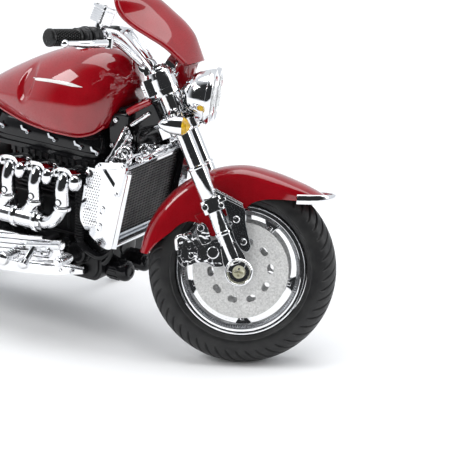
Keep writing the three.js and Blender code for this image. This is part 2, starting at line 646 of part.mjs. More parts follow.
function addTail() {
  const shell = fender(REAR_AXLE, [
    [52, 37.6, 33.6, 14.6], [66, 38.6, 31, 15.4], [80, 39.2, 29, 15.6], [95, 39.6, 28, 15.6],
    [110, 39.6, 28, 15.4], [125, 39.4, 28.5, 15.2], [140, 39, 30, 14.6], [152, 38.6, 32, 13.4],
    [160, 38.2, 33.6, 12],
  ]);
  const bridge = block(-78, -62, -4.4, 4.4, 70.4, 74.2);
  add(model, 'rear_fender', shell.add(solid(bridge)), 'paint');

  const base = REAR_AXLE.clone().add(v3(-36.6, 0, 21.5));
  const lamp = turnedAlong([
    [0, 0], [5.2, 0], [5.2, 3.4], [3.6, 5.6], [0, 6.2],
  ], base, v3(-1, 0, 0), 20);
  add(model, 'tail_light', solid(lamp), 'red_lens');
  for (const [name, side] of Object.entries(SIDES)) {
    const signal = v3(-116, side * 19.4, 60);
    const bullet = join(
      turnedAlong([[0, 0], [1.8, 0.4], [3, 2.4], [3.4, 6], [3.4, 9], [0, 9]], signal, v3(-1, 0, 0), 16),
      rod(signal.clone().add(v3(-4, 0, 0)), signal.clone().add(v3(-4, -side * 11, 0)), 1.1, 10),
    );
    add(model, `rear_signal_${name}`, bullet, 'chrome');
  }
}

// ---- rear suspension ----------------------------------------------------------------------
function addSwingarm() {
  const arm = (side) => plate([
    [PIVOT_X + 4, PIVOT_Z - 3], [PIVOT_X + 4, PIVOT_Z + 3], [REAR_AXLE_X - 2, REAR_AXLE_Z + 3.4],
    [REAR_AXLE_X - 4.5, REAR_AXLE_Z], [REAR_AXLE_X - 2, REAR_AXLE_Z - 3.4],
  ], side * ARM_Y - 2, side * ARM_Y + 2);
  const parts = Object.values(SIDES).flatMap((side) => [
    arm(side),
    block(-2.4, 2.4, -3.7, 3.7, 33, 37.6).translate(SHOCK_X, side * 17.7, 0),
    rod(v3(SHOCK_X, side * SHOCK_Y, 36), v3(SHOCK_X, side * SHOCK_Y, 50), 1.2, 12),
  ]);
  const bevelBox = rod(v3(REAR_AXLE_X, 13.4, REAR_AXLE_Z), v3(REAR_AXLE_X, 19, REAR_AXLE_Z), 8.5, 24);
  const axle = rod(v3(REAR_AXLE_X, -18.4, REAR_AXLE_Z), v3(REAR_AXLE_X, 18.4, REAR_AXLE_Z), AXLE_R, 16);
  const bridge = block(-49.5, -45.5, -15, 15, 34, 39.5);
  const bore = rod(v3(PIVOT_X, -20, PIVOT_Z), v3(PIVOT_X, 20, PIVOT_Z), 1.8 + GAP, 16);
  add(model, 'swingarm', cut(join(...parts, bevelBox, axle, bridge), bore), 'black');

  for (const [name, side] of Object.entries(SIDES)) {
    const sleeve = turnedAlong([
      [2.3, 44], [3.2, 44], [3.2, 64], [2.6, 67], [0, 67], [0, 62], [2.3, 62],
    ], v3(SHOCK_X, side * SHOCK_Y, 0), v3(0, 0, 1), 16);
    add(model, `shock_${name}`, solid(sleeve), 'chrome');
  }
}

// ---- controls and stand -------------------------------------------------------------------
const PEDAL_Y = ENGINE_HALF + 4.4;
function addControls() {
  for (const [name, side] of Object.entries(SIDES)) {
    const peg = rod(v3(4, side * PEDAL_Y, 30), v3(4, side * 36, 30), 2.1, 12, 2.6);
    add(model, `footrest_${name}`, solid(peg), 'chrome');
    const pivot = v3(18, side * 19.5, 31);
    const pedal = join(
      rod(v3(18, side * PEDAL_Y, 31), v3(18, side * 21, 31), 1.6, 12),
      tube([pivot, v3(24, side * 22, 32), v3(28, side * 27, 33)], 1.2, 6, 8),
      rod(v3(28, side * 25, 33), v3(28, side * 33, 33), 1.7, 12),
    );
    add(model, name === 'right' ? 'brake_pedal' : 'gear_lever', pedal, 'chrome');
  }
}

const STAND_PIVOT = v3(-6, 17.2, 21);
const STAND_REACH = v3(8, 20, -20);
const STAND_AXIS = v3(0, 1, 1).normalize();

function addKickstand() {
  const foot = STAND_PIVOT.clone().add(STAND_REACH);
  const boss = rod(
    STAND_PIVOT.clone().addScaledVector(STAND_AXIS, -1.6),
    STAND_PIVOT.clone().addScaledVector(STAND_AXIS, 1.6), 3, 16);
  const leg = rod(STAND_PIVOT, foot.clone().add(v3(-0.4, -1, 1)), 1.5, 12);
  const sole = rod(v3(foot.x, foot.y, 0), v3(foot.x, foot.y, 1.6), 3, 16);
  add(model, 'kickstand', join(boss, leg, sole), 'chrome');
}

// ---- assembly -----------------------------------------------------------------------------
addFrontWheel();
addFork();
addYokes();
addHandlebar();
addLamps();
addFlyscreen();
addFenders();
addCalipers();
addFrame();
addEngine();
addExhaust();
addRadiator();
addTank();
addSeats();
addTail();
addSwingarm();
addRearWheel();
addControls();
addKickstand();

steering.quaternion.setFromAxisAngle(UP_FORK, STEER);
steering.position.copy(STEER_FOOT).sub(STEER_FOOT.clone().applyQuaternion(steering.quaternion));

const extent = new THREE.Box3().setFromObject(model, true);
const middle = extent.getCenter(v3());
model.position.set(-middle.x, -middle.y, -extent.min.z);

export default model;
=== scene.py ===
"""The looks of a 1:10 cruiser display model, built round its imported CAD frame.

Every piece is drawn in millimetres on a straight-ahead motorcycle: x forward, y to the left, z up,
with the ground midway between the axles as its origin. piece() turns what steers to the left, as the
CAD frame stands, and moves everything into the frame's own place.
"""

import json
from math import cos, hypot, pi, radians, sin, sqrt

import bmesh
import bpy
from mathutils import Matrix, Vector
from mathutils.geometry import tessellate_polygon


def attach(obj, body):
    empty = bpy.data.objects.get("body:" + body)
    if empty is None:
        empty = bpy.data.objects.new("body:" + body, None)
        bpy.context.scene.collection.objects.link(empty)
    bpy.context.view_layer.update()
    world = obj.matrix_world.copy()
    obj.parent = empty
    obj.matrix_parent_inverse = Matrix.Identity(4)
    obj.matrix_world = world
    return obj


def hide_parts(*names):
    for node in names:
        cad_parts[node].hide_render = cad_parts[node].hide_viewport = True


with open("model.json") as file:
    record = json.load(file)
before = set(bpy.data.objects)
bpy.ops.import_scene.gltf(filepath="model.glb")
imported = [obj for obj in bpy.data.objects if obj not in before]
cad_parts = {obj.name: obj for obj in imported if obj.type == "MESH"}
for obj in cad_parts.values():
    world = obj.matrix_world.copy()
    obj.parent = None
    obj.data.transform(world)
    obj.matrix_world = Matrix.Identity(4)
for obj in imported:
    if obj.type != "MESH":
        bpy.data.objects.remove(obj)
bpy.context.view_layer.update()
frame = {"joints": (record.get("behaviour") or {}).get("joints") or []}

# ---- the motorcycle's own sizes, in millimetres --------------------------------------------------
MM = 0.001
JOINTS = {joint["name"]: joint for joint in frame["joints"]}
FRONT_AXLE = Vector((85, 0, 33))
REAR_AXLE = Vector((-84.5, 0, 32.3))
RAKE = radians(27.5)
STEER = radians(34)
FORK_OFFSET = 5.3
LEG_Y = 13
UP = Vector((-sin(RAKE), 0, cos(RAKE)))
AHEAD = Vector((cos(RAKE), 0, sin(RAKE)))
LEFT = Vector((0, 1, 0))
RIGHT = Vector((0, -1, 0))
FORWARD = Vector((1, 0, 0))
BACKWARD = Vector((-1, 0, 0))
SKYWARD = Vector((0, 0, 1))
STEER_FOOT = FRONT_AXLE - AHEAD * FORK_OFFSET
ORIGIN = Vector(JOINTS["rear_wheel_spin"]["pos_m"]) / MM - REAR_AXLE
TO_ROW = Matrix.Scale(MM, 4) @ Matrix.Translation(ORIGIN)
TURN = Matrix.Translation(STEER_FOOT) @ Matrix.Rotation(STEER, 4, UP) @ Matrix.Translation(-STEER_FOOT)
STEERED = {"steering", "fork_slider", "front_wheel"}
SIDES = {"right": -1, "left": 1}


def fork(s, f, y):
    """A point s up the fork from the axle's height, f ahead of the steering axis, y to the left."""
    return STEER_FOOT + UP * s + AHEAD * f + LEFT * y


# ---- making meshes -------------------------------------------------------------------------------
def merge(*parts):
    """Several parts, each a pair of vertices and faces, as one."""
    verts, faces = [], []
    for part_verts, part_faces in parts:
        base = len(verts)
        verts.extend(part_verts)
        faces.extend([base + i for i in face] for face in part_faces)
    return verts, faces


def moved(part, matrix):
    return [matrix @ v for v in part[0]], part[1]


def mirrored(part):
    return [Vector((v.x, -v.y, v.z)) for v in part[0]], part[1]


def on_side(side, *parts):
    """Parts drawn for the right side, as one, or their mirror image for the left."""
    part = merge(*parts)
    return part if side < 0 else mirrored(part)


def skin(rings, closed=False, caps=True):
    """A skin through rings of points. closed joins the last ring to the first, caps fill the two ends."""
    sides = len(rings[0])
    verts = [Vector(p) for ring in rings for p in ring]
    faces = []
    for i in range(len(rings) if closed else len(rings) - 1):
        a, b = i * sides, (i + 1) % len(rings) * sides
        for k in range(sides):
            n = (k + 1) % sides
            faces.append([a + k, a + n, b + n, b + k])
    if caps and not closed:
        faces.append(list(range(sides))[::-1])
        faces.append([len(verts) - sides + k for k in range(sides)])
    return verts, faces


def sheet(rings):
    """A thin curved sheet: each ring runs along its outer face and back along its inner face."""
    verts, faces = skin(rings, caps=False)
    sides = len(rings[0])
    for base in (0, len(verts) - sides):
        for k in range(sides // 2 - 1):
            faces.append([base + k, base + k + 1, base + sides - 2 - k, base + sides - 1 - k])
    return verts, faces


def facing(start, direction, hint=SKYWARD):
    """A placement at start with its z along direction."""
    z = Vector(direction).normalized()
    x = hint.cross(z)
    if x.length < 1e-3:
        x = FORWARD.cross(z)
    x.normalize()
    place = Matrix((x, z.cross(x), z)).transposed().to_4x4()
    place.translation = start
    return place


def side_on(y, start=(0, 0, 0)):
    """A placement whose x and y run along the bike's x and z, and whose depth runs to the right."""
    place = Matrix(((1, 0, 0, 0), (0, 0, -1, y), (0, 1, 0, 0), (0, 0, 0, 1)))
    return Matrix.Translation(start) @ place


def fork_side(y):
    """As side_on, for outlines given as (f, s) points in the fork's own directions."""
    place = Matrix((AHEAD, UP, RIGHT)).transposed().to_4x4()
    place.translation = STEER_FOOT + LEFT * y
    return place


def fork_flat(s):
    """A placement square to the fork, for outlines given as (f, y) points."""
    place = Matrix((AHEAD, LEFT, UP)).transposed().to_4x4()
    place.translation = STEER_FOOT + UP * s
    return place


def raised(z):
    """A placement z higher, for outlines seen from above."""
    return Matrix.Translation((0, 0, z))


def spun(angle, axis="Z"):
    """A turn about one of the axes."""
    return Matrix.Rotation(angle, 4, axis)


def turned(profile, place, sides=48):
    """A turned part about the placement's z, from (z, radius) points."""
    turns = [2 * pi * k / sides for k in range(sides)]
    return skin([[place @ Vector((r * cos(t), r * sin(t), z)) for t in turns] for z, r in profile])


def symmetric(half):
    """A profile from its second half: the first half is the same, the other way round."""
    return [(-z, r) for z, r in reversed(half) if z] + half


def slab(outline, depth, place, holes=()):
    """A flat piece cut to an outline of (x, y) points, with holes, and as thick as depth."""
    loops = [[Vector((p[0], p[1], 0)) for p in loop] for loop in (outline, *holes)]
    flat = [p for loop in loops for p in loop]
    count = len(flat)
    sheets = tessellate_polygon(loops) if holes else [range(count)]
    verts = [place @ p for p in flat] + [place @ (p + Vector((0, 0, depth))) for p in flat]
    faces = [list(face)[::-1] for face in sheets] + [[i + count for i in face] for face in sheets]
    base = 0
    for loop in loops:
        for k in range(len(loop)):
            a, b = base + k, base + (k + 1) % len(loop)
            faces.append([a, b, b + count, a + count])
        base += len(loop)
    return verts, faces


def rectangle(x0, x1, y0, y1):
    return [(x0, y0), (x1, y0), (x1, y1), (x0, y1)]


def box(x0, x1, y0, y1, z0, z1):
    return slab(rectangle(x0, x1, z0, z1), y1 - y0, side_on(y1))


def smooth_line(points, steps):
    """A smooth line through the points: Catmull-Rom, with steps pieces between two points."""
    points = [Vector(p) for p in points]
    line = []
    for i in range(len(points) - 1):
        p1, p2 = points[i], points[i + 1]
        p0 = points[i - 1] if i else p1 * 2 - p2
        p3 = points[i + 2] if i + 2 < len(points) else p2 * 2 - p1
        for k in range(steps):
            t = k / steps
            line.append(0.5 * (2 * p1 + (p2 - p0) * t + (2 * p0 - 5 * p1 + 4 * p2 - p3) * t * t
                               + (3 * p1 - p0 - 3 * p2 + p3) * t ** 3))
    return [*line, points[-1]]


def smooth_sizes(sizes, steps):
    """One size at each point of a smooth line, from the sizes at the points that it was drawn through."""
    return [p.x for p in smooth_line([(size, 0, 0) for size in sizes], steps)]


def ways_along(line):
    """The direction of a line at each of its points."""
    return [(line[min(i + 1, len(line) - 1)] - line[max(i - 1, 0)]).normalized() for i in range(len(line))]


LIP = 0.25                      # how far a soft end stands out, and how much it narrows
LIP_SCALE = 0.8


def swept(line, section, scales=None, soft_ends=True):
    """A section of (x, y) points carried along a line without twisting, scaled at each of its points."""
    line = [Vector(p) for p in line]
    scales = scales or [1] * len(line)
    ways = ways_along(line)
    across = ways[0].orthogonal() if abs(ways[0].z) > 0.9 else SKYWARD.cross(ways[0])
    rings = []
    for i, (point, way) in enumerate(zip(line, ways)):
        across = (across - way * across.dot(way)).normalized()
        other = way.cross(across)
        ring = [point + (across * x + other * y) * scales[i] for x, y in section]
        if soft_ends and i in (0, len(line) - 1):
            end = point - way * LIP if i == 0 else point + way * LIP
            lip = [end + (p - point) * LIP_SCALE for p in ring]
            rings.extend([lip, ring] if i == 0 else [ring, lip])
        else:
            rings.append(ring)
    return skin(rings)


def ellipse(a, b=None, sides=20):
    """An ellipse with half-axes a and b, or a circle of radius a."""
    b = b or a
    return [(a * cos(2 * pi * k / sides), b * sin(2 * pi * k / sides)) for k in range(sides)]


def tube(points, radius, sides=20, steps=6, scales=None):
    """A round bar along a smooth line through the points; scales gives its thickness at each point."""
    return swept(smooth_line(points, steps), ellipse(radius, sides=sides),
                 scales and smooth_sizes(scales, steps))


def rod(a, b, radius):
    """A straight round bar with a small chamfer at each end."""
    a, b = Vector(a), Vector(b)
    length = (b - a).length
    soft = min(0.25, radius * 0.3, length * 0.3)
    profile = [(0, 0), (0, radius - soft), (soft, radius), (length - soft, radius), (length, radius - soft),
               (length, 0)]
    return turned(profile, facing(a, b - a), 32)


def rounded(points, radius, steps=4):
    """The same closed outline with its corners rounded off."""
    points = [Vector(p) for p in points]
    out = []
    for i, p in enumerate(points):
        to_last, to_next = points[i - 1] - p, points[(i + 1) % len(points)] - p
        start = p + to_last.normalized() * min(radius, to_last.length * 0.48)
        end = p + to_next.normalized() * min(radius, to_next.length * 0.48)
        for k in range(steps + 1):
            t = k / steps
            out.append(start * (1 - t) ** 2 + p * 2 * t * (1 - t) + end * t * t)
    return out


def soft_slab(outline, corner, depth, place, holes=(), steps=4):
    """A slab whose outline has rounded corners."""
    return slab(rounded(outline, corner, steps), depth, place, holes)


def stadium(cx, cy, half_x, half_y, turn=0, sides=16):
    """A slot with round ends, about (cx, cy) and turned by an angle."""
    flat = abs(half_x - half_y)
    small = min(half_x, half_y)
    points = []
    for k in range(sides):
        t = 2 * pi * (k + 0.5) / sides
        x, y = small * cos(t), small * sin(t)
        if half_x > half_y:
            x += flat if cos(t) > 0 else -flat
        else:
            y += flat if sin(t) > 0 else -flat
        points.append((cx + x * cos(turn) - y * sin(turn), cy + x * sin(turn) + y * cos(turn)))
    return points


def bolt(point, direction, r=1.0, h=0.8):
    """A cap screw with a round socket in its head."""
    profile = [(-0.4, r), (h * 0.7, r), (h, r * 0.8), (h, r * 0.5), (h * 0.4, r * 0.42), (h * 0.4, 0)]
    return turned([(-0.4, 0), *profile], facing(point, direction), 20)


def nut(point, direction, r=1.4, h=1.0):
    """A hexagon nut with a domed stud standing out of it."""
    place = facing(point, direction)
    return merge(turned([(-0.3, 0), (-0.3, r), (h * 0.8, r), (h, r * 0.86), (h, 0)], place, 6),
                 turned([(h, r * 0.5), (h * 1.4, r * 0.45), (h * 1.6, 0)], place, 16))


def blended(table, x):
    """Smoothly interpolated values of a table whose rows are (x, value, value, ...), x rising."""
    rows = sorted(table)
    x = min(max(x, rows[0][0]), rows[-1][0])
    i = max(k for k in range(len(rows) - 1) if rows[k][0] <= x or k == 0)
    p1, p2 = rows[i], rows[i + 1]
    p0, p3 = rows[max(i - 1, 0)], rows[min(i + 2, len(rows) - 1)]
    t = (x - p1[0]) / (p2[0] - p1[0])
    out = []
    for c in range(1, len(p1)):
        m1 = (p2[c] - p0[c]) / (p2[0] - p0[0]) * (p2[0] - p1[0])
        m2 = (p3[c] - p1[c]) / (p3[0] - p1[0]) * (p2[0] - p1[0])
        out.append(p1[c] * (2 * t ** 3 - 3 * t * t + 1) + m1 * (t ** 3 - 2 * t * t + t)
                   + p2[c] * (3 * t * t - 2 * t ** 3) + m2 * (t ** 3 - t * t))
    return out


def ramp(x, low, high):
    """0 below low and 1 above high, with a smooth rise between them."""
    t = min(max((x - low) / (high - low), 0), 1)
    return t * t * (3 - 2 * t)


# ---- materials -----------------------------------------------------------------------------------
class Finish:
    """A node material on one Principled shader. Texture sizes are in millimetres."""

    def __init__(self, name, **sockets):
        self.material = bpy.data.materials.new(name)
        self.material.use_nodes = True
        self.tree = self.material.node_tree
        self.shader = self.tree.nodes["Principled BSDF"]
        self.place = self.node("ShaderNodeTexCoord").outputs["Object"]
        self.height = None
        for socket, value in sockets.items():
            self.shader.inputs[socket.replace("_", " ")].default_value = value

    def node(self, kind, **inputs):
        node = self.tree.nodes.new(kind)
        for socket, value in inputs.items():
            node.inputs[socket].default_value = value
        return node

    def link(self, output, node, socket):
        self.tree.links.new(output, node.inputs[socket])

    def noise(self, size, detail=3.0, distortion=0.0):
        node = self.node("ShaderNodeTexNoise", Scale=1000 / size, Detail=detail, Distortion=distortion)
        self.link(self.place, node, "Vector")
        return node.outputs["Fac"]

    def cells(self, size, feature="F1"):
        node = self.node("ShaderNodeTexVoronoi", Scale=1000 / size)
        node.feature = feature
        self.link(self.place, node, "Vector")
        return node.outputs["Distance"]

    def stepped(self, value, low, high, socket, out_low, out_high):
        """Drives a shader number by a texture value."""
        node = self.node("ShaderNodeMapRange")
        for name, number in (("From Min", low), ("From Max", high), ("To Min", out_low),
                             ("To Max", out_high)):
            node.inputs[name].default_value = number
        self.link(value, node, "Value")
        self.link(node.outputs["Result"], self.shader, socket)
        return self

    def coloured(self, value, *stops):
        """Drives the base colour by a texture value, through (place, colour) stops."""
        node = self.tree.nodes.new("ShaderNodeValToRGB")
        ramp_points = node.color_ramp.elements
        for i, (place, colour) in enumerate(stops):
            point = ramp_points[i] if i < 2 else ramp_points.new(place)
            point.position = place
            point.color = (*colour, 1)
        self.link(value, node, "Fac")
        self.link(node.outputs["Color"], self.shader, "Base Color")
        return self

    def bumped(self, value, depth, strength=1.0):
        """Raises the surface by a texture value, depth millimetres high."""
        node = self.node("ShaderNodeBump", Strength=strength, Distance=depth * MM)
        self.link(value, node, "Height")
        if self.height:
            self.link(self.height, node, "Normal")
        self.height = node.outputs["Normal"]
        self.link(self.height, self.shader, "Normal")
        return self


def paint(name, dark, light):
    """Lacquer under a clear coat."""
    finish = Finish(name, Coat_Weight=1.0, Coat_Roughness=0.01, Coat_IOR=1.66, Specular_IOR_Level=0.1)
    finish.coloured(finish.noise(9), (0.3, dark), (0.7, light))
    finish.stepped(finish.noise(0.3), 0.3, 0.7, "Roughness", 0.24, 0.34)
    return finish.bumped(finish.noise(6, 2), 0.01)


def plating(name, dark, light, rough=0.05, wave=0.09, size=4.5, metallic=1.0):
    """Plated plastic, with ripples that are wave high and size long."""
    finish = Finish(name, Metallic=metallic)
    finish.coloured(finish.noise(5), (0.3, dark), (0.7, light))
    finish.stepped(finish.noise(1.6, 4), 0.35, 0.75, "Roughness", rough, rough + 0.07)
    return finish.bumped(finish.noise(size, 2), wave)


def moulding(name, dark, light, low, high, grain=0.35, depth=0.02):
    """Moulded plastic or rubber, whose roughness wanders between low and high."""
    finish = Finish(name, Specular_IOR_Level=0.35)
    finish.coloured(finish.noise(4), (0.3, dark), (0.7, light))
    finish.stepped(finish.noise(1.1, 4), 0.3, 0.7, "Roughness", low, high)
    return finish.bumped(finish.noise(grain, 2), depth)


def speckled_metal():
    finish = Finish("speckled disc metal", Metallic=0.08, Specular_IOR_Level=0.7)
    finish.coloured(finish.noise(0.7, 6, 0.6), (0.3, (0.50, 0.50, 0.49)), (0.5, (0.66, 0.66, 0.65)),
                    (0.7, (0.80, 0.80, 0.79)))
    finish.stepped(finish.noise(0.5), 0.3, 0.7, "Roughness", 0.36, 0.55)
    return finish.bumped(finish.cells(0.4), 0.05)


def clear_plastic(name, colour, transmission, rough):
    finish = Finish(name, Transmission_Weight=transmission, IOR=1.46)
    finish.coloured(finish.noise(3), (0.2, colour), (0.8, tuple(min(1, c * 1.06) for c in colour)))
    finish.stepped(finish.noise(1.2), 0.3, 0.7, "Roughness", rough, rough + 0.05)
    return finish.bumped(finish.noise(1.4, 2), 0.01)


def leather():
    finish = Finish("seat leather", Specular_IOR_Level=0.45)
    finish.coloured(finish.noise(7), (0.3, (0.012, 0.012, 0.013)), (0.7, (0.024, 0.023, 0.023)))
    finish.stepped(finish.cells(0.7), 0.0, 0.7, "Roughness", 0.62, 0.42)
    finish.bumped(finish.cells(0.7, "DISTANCE_TO_EDGE"), 0.05, 0.8)
    return finish.bumped(finish.noise(0.25), 0.02)


FINISHES = {
    "red paint": (paint("red clear-coated paint", (0.24, 0.0, 0.004), (0.32, 0.001, 0.007)), "paint"),
    "rear paint": (paint("rear red paint", (0.24, 0.0, 0.004), (0.32, 0.001, 0.007)), "rear_paint"),
    "stripe": (paint("pale stripe paint", (0.78, 0.77, 0.75), (0.84, 0.83, 0.81)), "paint"),
    "chrome": (plating("chrome plating", (0.80, 0.81, 0.83), (0.90, 0.90, 0.91)), "chrome_plate"),
    # The same plating darkened: painted shade for plated parts that sit in shadow.
    "painted-shade chrome": (plating("chrome plating darkened as painted shade", (0.50, 0.52, 0.55), (0.62, 0.64, 0.66), 0.1),
                      "chrome_plate"),
    "wavy chrome": (plating("rippled chrome plating", (0.80, 0.81, 0.83), (0.90, 0.90, 0.91), 0.06, 0.8,
                            4.0), "chrome_plate"),
    "zinc": (plating("yellow zinc plating", (0.78, 0.76, 0.56), (0.92, 0.90, 0.72), 0.16, 0.3, 1.5, 0.55),
             "chrome_plate"),
    "black": (moulding("satin black plastic", (0.005, 0.005, 0.006), (0.012, 0.012, 0.013), 0.32, 0.46),
              "black_plastic"),
    "gloss black": (moulding("glossy black plastic", (0.004, 0.004, 0.005), (0.009, 0.009, 0.010), 0.10,
                             0.18, 1.8, 0.01), "black_plastic"),
    "weave": (moulding("dark metal weave", (0.11, 0.112, 0.116), (0.20, 0.20, 0.20), 0.3, 0.45),
              "black_plastic"),
    "rubber": (moulding("tyre rubber", (0.012, 0.012, 0.013), (0.024, 0.024, 0.024), 0.34, 0.48, 0.3),
               "tyre"),
    "grip": (moulding("grip rubber", (0.010, 0.010, 0.010), (0.022, 0.022, 0.022), 0.18, 0.3, 0.4), "grip"),
    "disc": (speckled_metal(), "disc_metal"),
    "silver": (moulding("silver plastic", (0.50, 0.51, 0.52), (0.62, 0.63, 0.64), 0.22, 0.36),
               "silver_plastic"),
    "clear": (clear_plastic("clear lens plastic", (0.93, 0.95, 0.96), 0.95, 0.02), "lens_clear"),
    "amber": (clear_plastic("amber lens plastic", (0.92, 0.58, 0.03), 0.6, 0.1), "lens_clear"),
    "red lens": (clear_plastic("red lens plastic", (0.62, 0.012, 0.014), 0.5, 0.1), "lens_red"),
    "leather": (leather(), "seat"),
    "thread": (moulding("seat thread", (0.10, 0.10, 0.10), (0.16, 0.16, 0.16), 0.6, 0.8, 0.2, 0.04),
               "seat"),
}


# ---- pieces --------------------------------------------------------------------------------------
JOIN_WITHIN = 0.002
SLIVER = 0.0005
BEVEL_ANGLE = radians(34)       # a bevel rounds the edges that turn more than this


def cleaned(mesh):
    """Joins points that coincide and turns every face outwards."""
    work = bmesh.new()
    work.from_mesh(mesh)
    bmesh.ops.remove_doubles(work, verts=work.verts, dist=JOIN_WITHIN * MM)
    bmesh.ops.dissolve_degenerate(work, dist=SLIVER * MM, edges=work.edges)
    bmesh.ops.recalc_face_normals(work, faces=work.faces)
    work.to_mesh(mesh)
    work.free()


def piece(name, part, body, finish, replaces=(), bevel=0.0, smooth=38, subdivide=0):
    """Puts a part in the frame: it rides on its body and stands for the CAD nodes that it replaces."""
    place = TO_ROW @ TURN if body in STEERED else TO_ROW
    mesh = bpy.data.meshes.new(name)
    mesh.from_pydata([place @ v for v in part[0]], [], part[1])
    cleaned(mesh)
    mesh.shade_smooth()
    mesh.set_sharp_from_angle(angle=radians(smooth))
    made, slot = FINISHES[finish]
    mesh.materials.append(made.material)
    obj = bpy.data.objects.new(name, mesh)
    bpy.context.scene.collection.objects.link(obj)
    if subdivide:
        fine = obj.modifiers.new("fine", "SUBSURF")
        fine.levels = fine.render_levels = subdivide
    if bevel:
        edge = obj.modifiers.new("soft edges", "BEVEL")
        edge.width = bevel * MM
        edge.segments = 2
        edge.limit_method = "ANGLE"
        edge.angle_limit = BEVEL_ANGLE
        edge.harden_normals = True
    if replaces:
        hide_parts(*([replaces] if isinstance(replaces, str) else replaces))
    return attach(obj, body)


# ---- wheels --------------------------------------------------------------------------------------
FRONT_WHEEL = {"radius": 33.6, "half": 7.5, "bead": 23.6, "crown": 7.5}
REAR_WHEEL = {"radius": 32.3, "half": 12.0, "bead": 21.4, "crown": 8.0}
DISC_R = 17.1
RIM_RIBS = 144
# Places across one pitch of the tread: where a groove starts, reaches its depth, leaves it and ends.
GROOVE_LEFT = (0.08, 0.13, 0.35, 0.40)
GROOVE_RIGHT = (0.58, 0.63, 0.85, 0.90)
GROOVE_DEPTH = 0.95
TREAD_ANGLE = radians(68)
TREAD_SWEEP = 8.5


def wheel_point(centre, r, y, angle):
    """A point r from a wheel's axle; the angle is 0 in front of it and 90 degrees above it."""
    return centre + Vector((r * cos(angle), y, r * sin(angle)))


def tyre(centre, radius, half, bead, crown, pitches):
    """A tyre whose curved grooves sweep forward from each shoulder towards the middle."""
    flat = half - crown
    edge = flat + crown * TREAD_ANGLE
    rows = [(radius, flat * k / 4, flat * k / 4) for k in range(4) if flat > 0.1]
    for k in range(31):
        phi = pi / 2 * k / 30
        rows.append((radius - crown + crown * cos(phi), flat + crown * sin(phi), flat + crown * phi))
    ridge = bead + 1.5
    rows.extend([(ridge + 0.35, half - 0.12, 99), (ridge, half + 0.12, 99), (ridge - 0.4, half - 0.25, 99),
                 (bead + 0.4, half - 0.55, 99), (bead, half - 0.9, 99), (bead + 2.2, half - 2, 99)])
    across = [(r, -y, q, GROOVE_RIGHT) for r, y, q in reversed(rows)]
    across += [(r, y, q, GROOVE_LEFT) for r, y, q in (rows if flat > 0.1 else rows[1:])]
    columns = sorted({0.0, 0.49, *GROOVE_LEFT, *GROOVE_RIGHT})
    rings = []
    for r, y, q, groove in across:
        cut = GROOVE_DEPTH * ramp(q, 0.5, 1.8) * (1 - ramp(q, edge - 1.3, edge))
        shift = TREAD_SWEEP / radius * max(0, 1 - q / edge) ** 1.5
        rings.append([wheel_point(centre, r - (cut if groove[1] <= c <= groove[2] else 0), y,
                                  2 * pi * (i + c) / pitches + shift) for i in range(pitches)
                      for c in columns])
    return skin(rings, closed=True)


def rim_ring(centre, bead, half):
    """The rim: an outer lip, a finely ribbed step inside it and a plain barrel between the two sides."""
    lip = bead - 0.3
    step = lip - 2.0
    half_profile = [(lip, half - 2.4, 0), (lip, half - 0.9, 0), (lip - 0.15, half - 0.6, 0),
                    (lip - 0.5, half - 0.55, 0), (lip - 0.7, half - 0.9, 0), (lip - 1.5, half - 1.0, 0),
                    (step, half - 0.75, 0), (step - 0.15, half - 0.8, 0), (step - 0.3, half - 1.15, 1),
                    (step - 1.25, half - 2.1, 1), (step - 1.4, half - 2.5, 0), (lip - 3.6, half - 3.2, 0),
                    (lip - 3.75, half - 4, 0), (lip - 3.8, 0.6, 0)]
    profile = half_profile + [(r, -y, rib) for r, y, rib in reversed(half_profile)]
    columns = 4 * RIM_RIBS
    rings = [[wheel_point(centre, r + (0.10 if k % 4 < 2 else 0) * rib, y, 2 * pi * k / columns)
              for k in range(columns)] for r, y, rib in profile]
    return skin(rings, closed=True)


def spokes(centre, bead, hub_half):
    """Five blades that flare into the rim, more on one side than on the other, and the hub."""
    reach = bead - 3.9
    blade = [(4, -2.0), (11, -1.75), (reach - 2.6, -1.55), (reach - 1.5, -1.75), (reach - 0.6, -2.3),
             (reach + 0.4, -3.2), (reach + 0.4, 4.2), (reach - 0.4, 3.5), (reach - 2.4, 1.7), (11, 1.75),
             (4, 2.0)]
    parts = []
    for k in range(5):
        turn = spun(radians(72 * k - 60), "Y")
        place = Matrix.Translation(centre) @ turn @ side_on(2.7)
        parts.append(slab(blade, 5.4, place))
        ridge = [(9.5, -0.55), (reach - 1.2, -0.7), (reach - 1.2, 0.7), (9.5, 0.55)]
        parts.append(soft_slab(ridge, 0.4, 6.2, Matrix.Translation(centre) @ turn @ side_on(3.1)))
    hub = symmetric([(0, 5.9), (2.8, 5.2), (hub_half - 0.5, 5.0), (hub_half, 4.6), (hub_half, 1.9)])
    return merge(*parts, turned(hub, facing(centre, LEFT)))


def brake_disc(centre, y, radius, slot_r, slots, first):
    """A slotted disc with a stepped edge and a raised carrier; the plate's left face is at y."""
    holes = [ellipse(2.3, sides=32)]
    for k in range(slots):
        angle = radians(first + 360 / slots * k)
        holes.append(stadium(slot_r * cos(angle), slot_r * sin(angle), 1.15, 1.75, angle))
    inner = slab(ellipse(radius - 0.9, sides=120), 0.55, side_on(y, centre), holes)
    edge = slab(ellipse(radius, sides=120), 0.4, side_on(y + 0.05, centre),
                [ellipse(radius - 0.95, sides=120)])
    carrier = slab(ellipse(7.4, sides=64), 0.62, side_on(y + 0.03, centre), [ellipse(2.3, sides=32)])
    return merge(inner, edge, carrier)


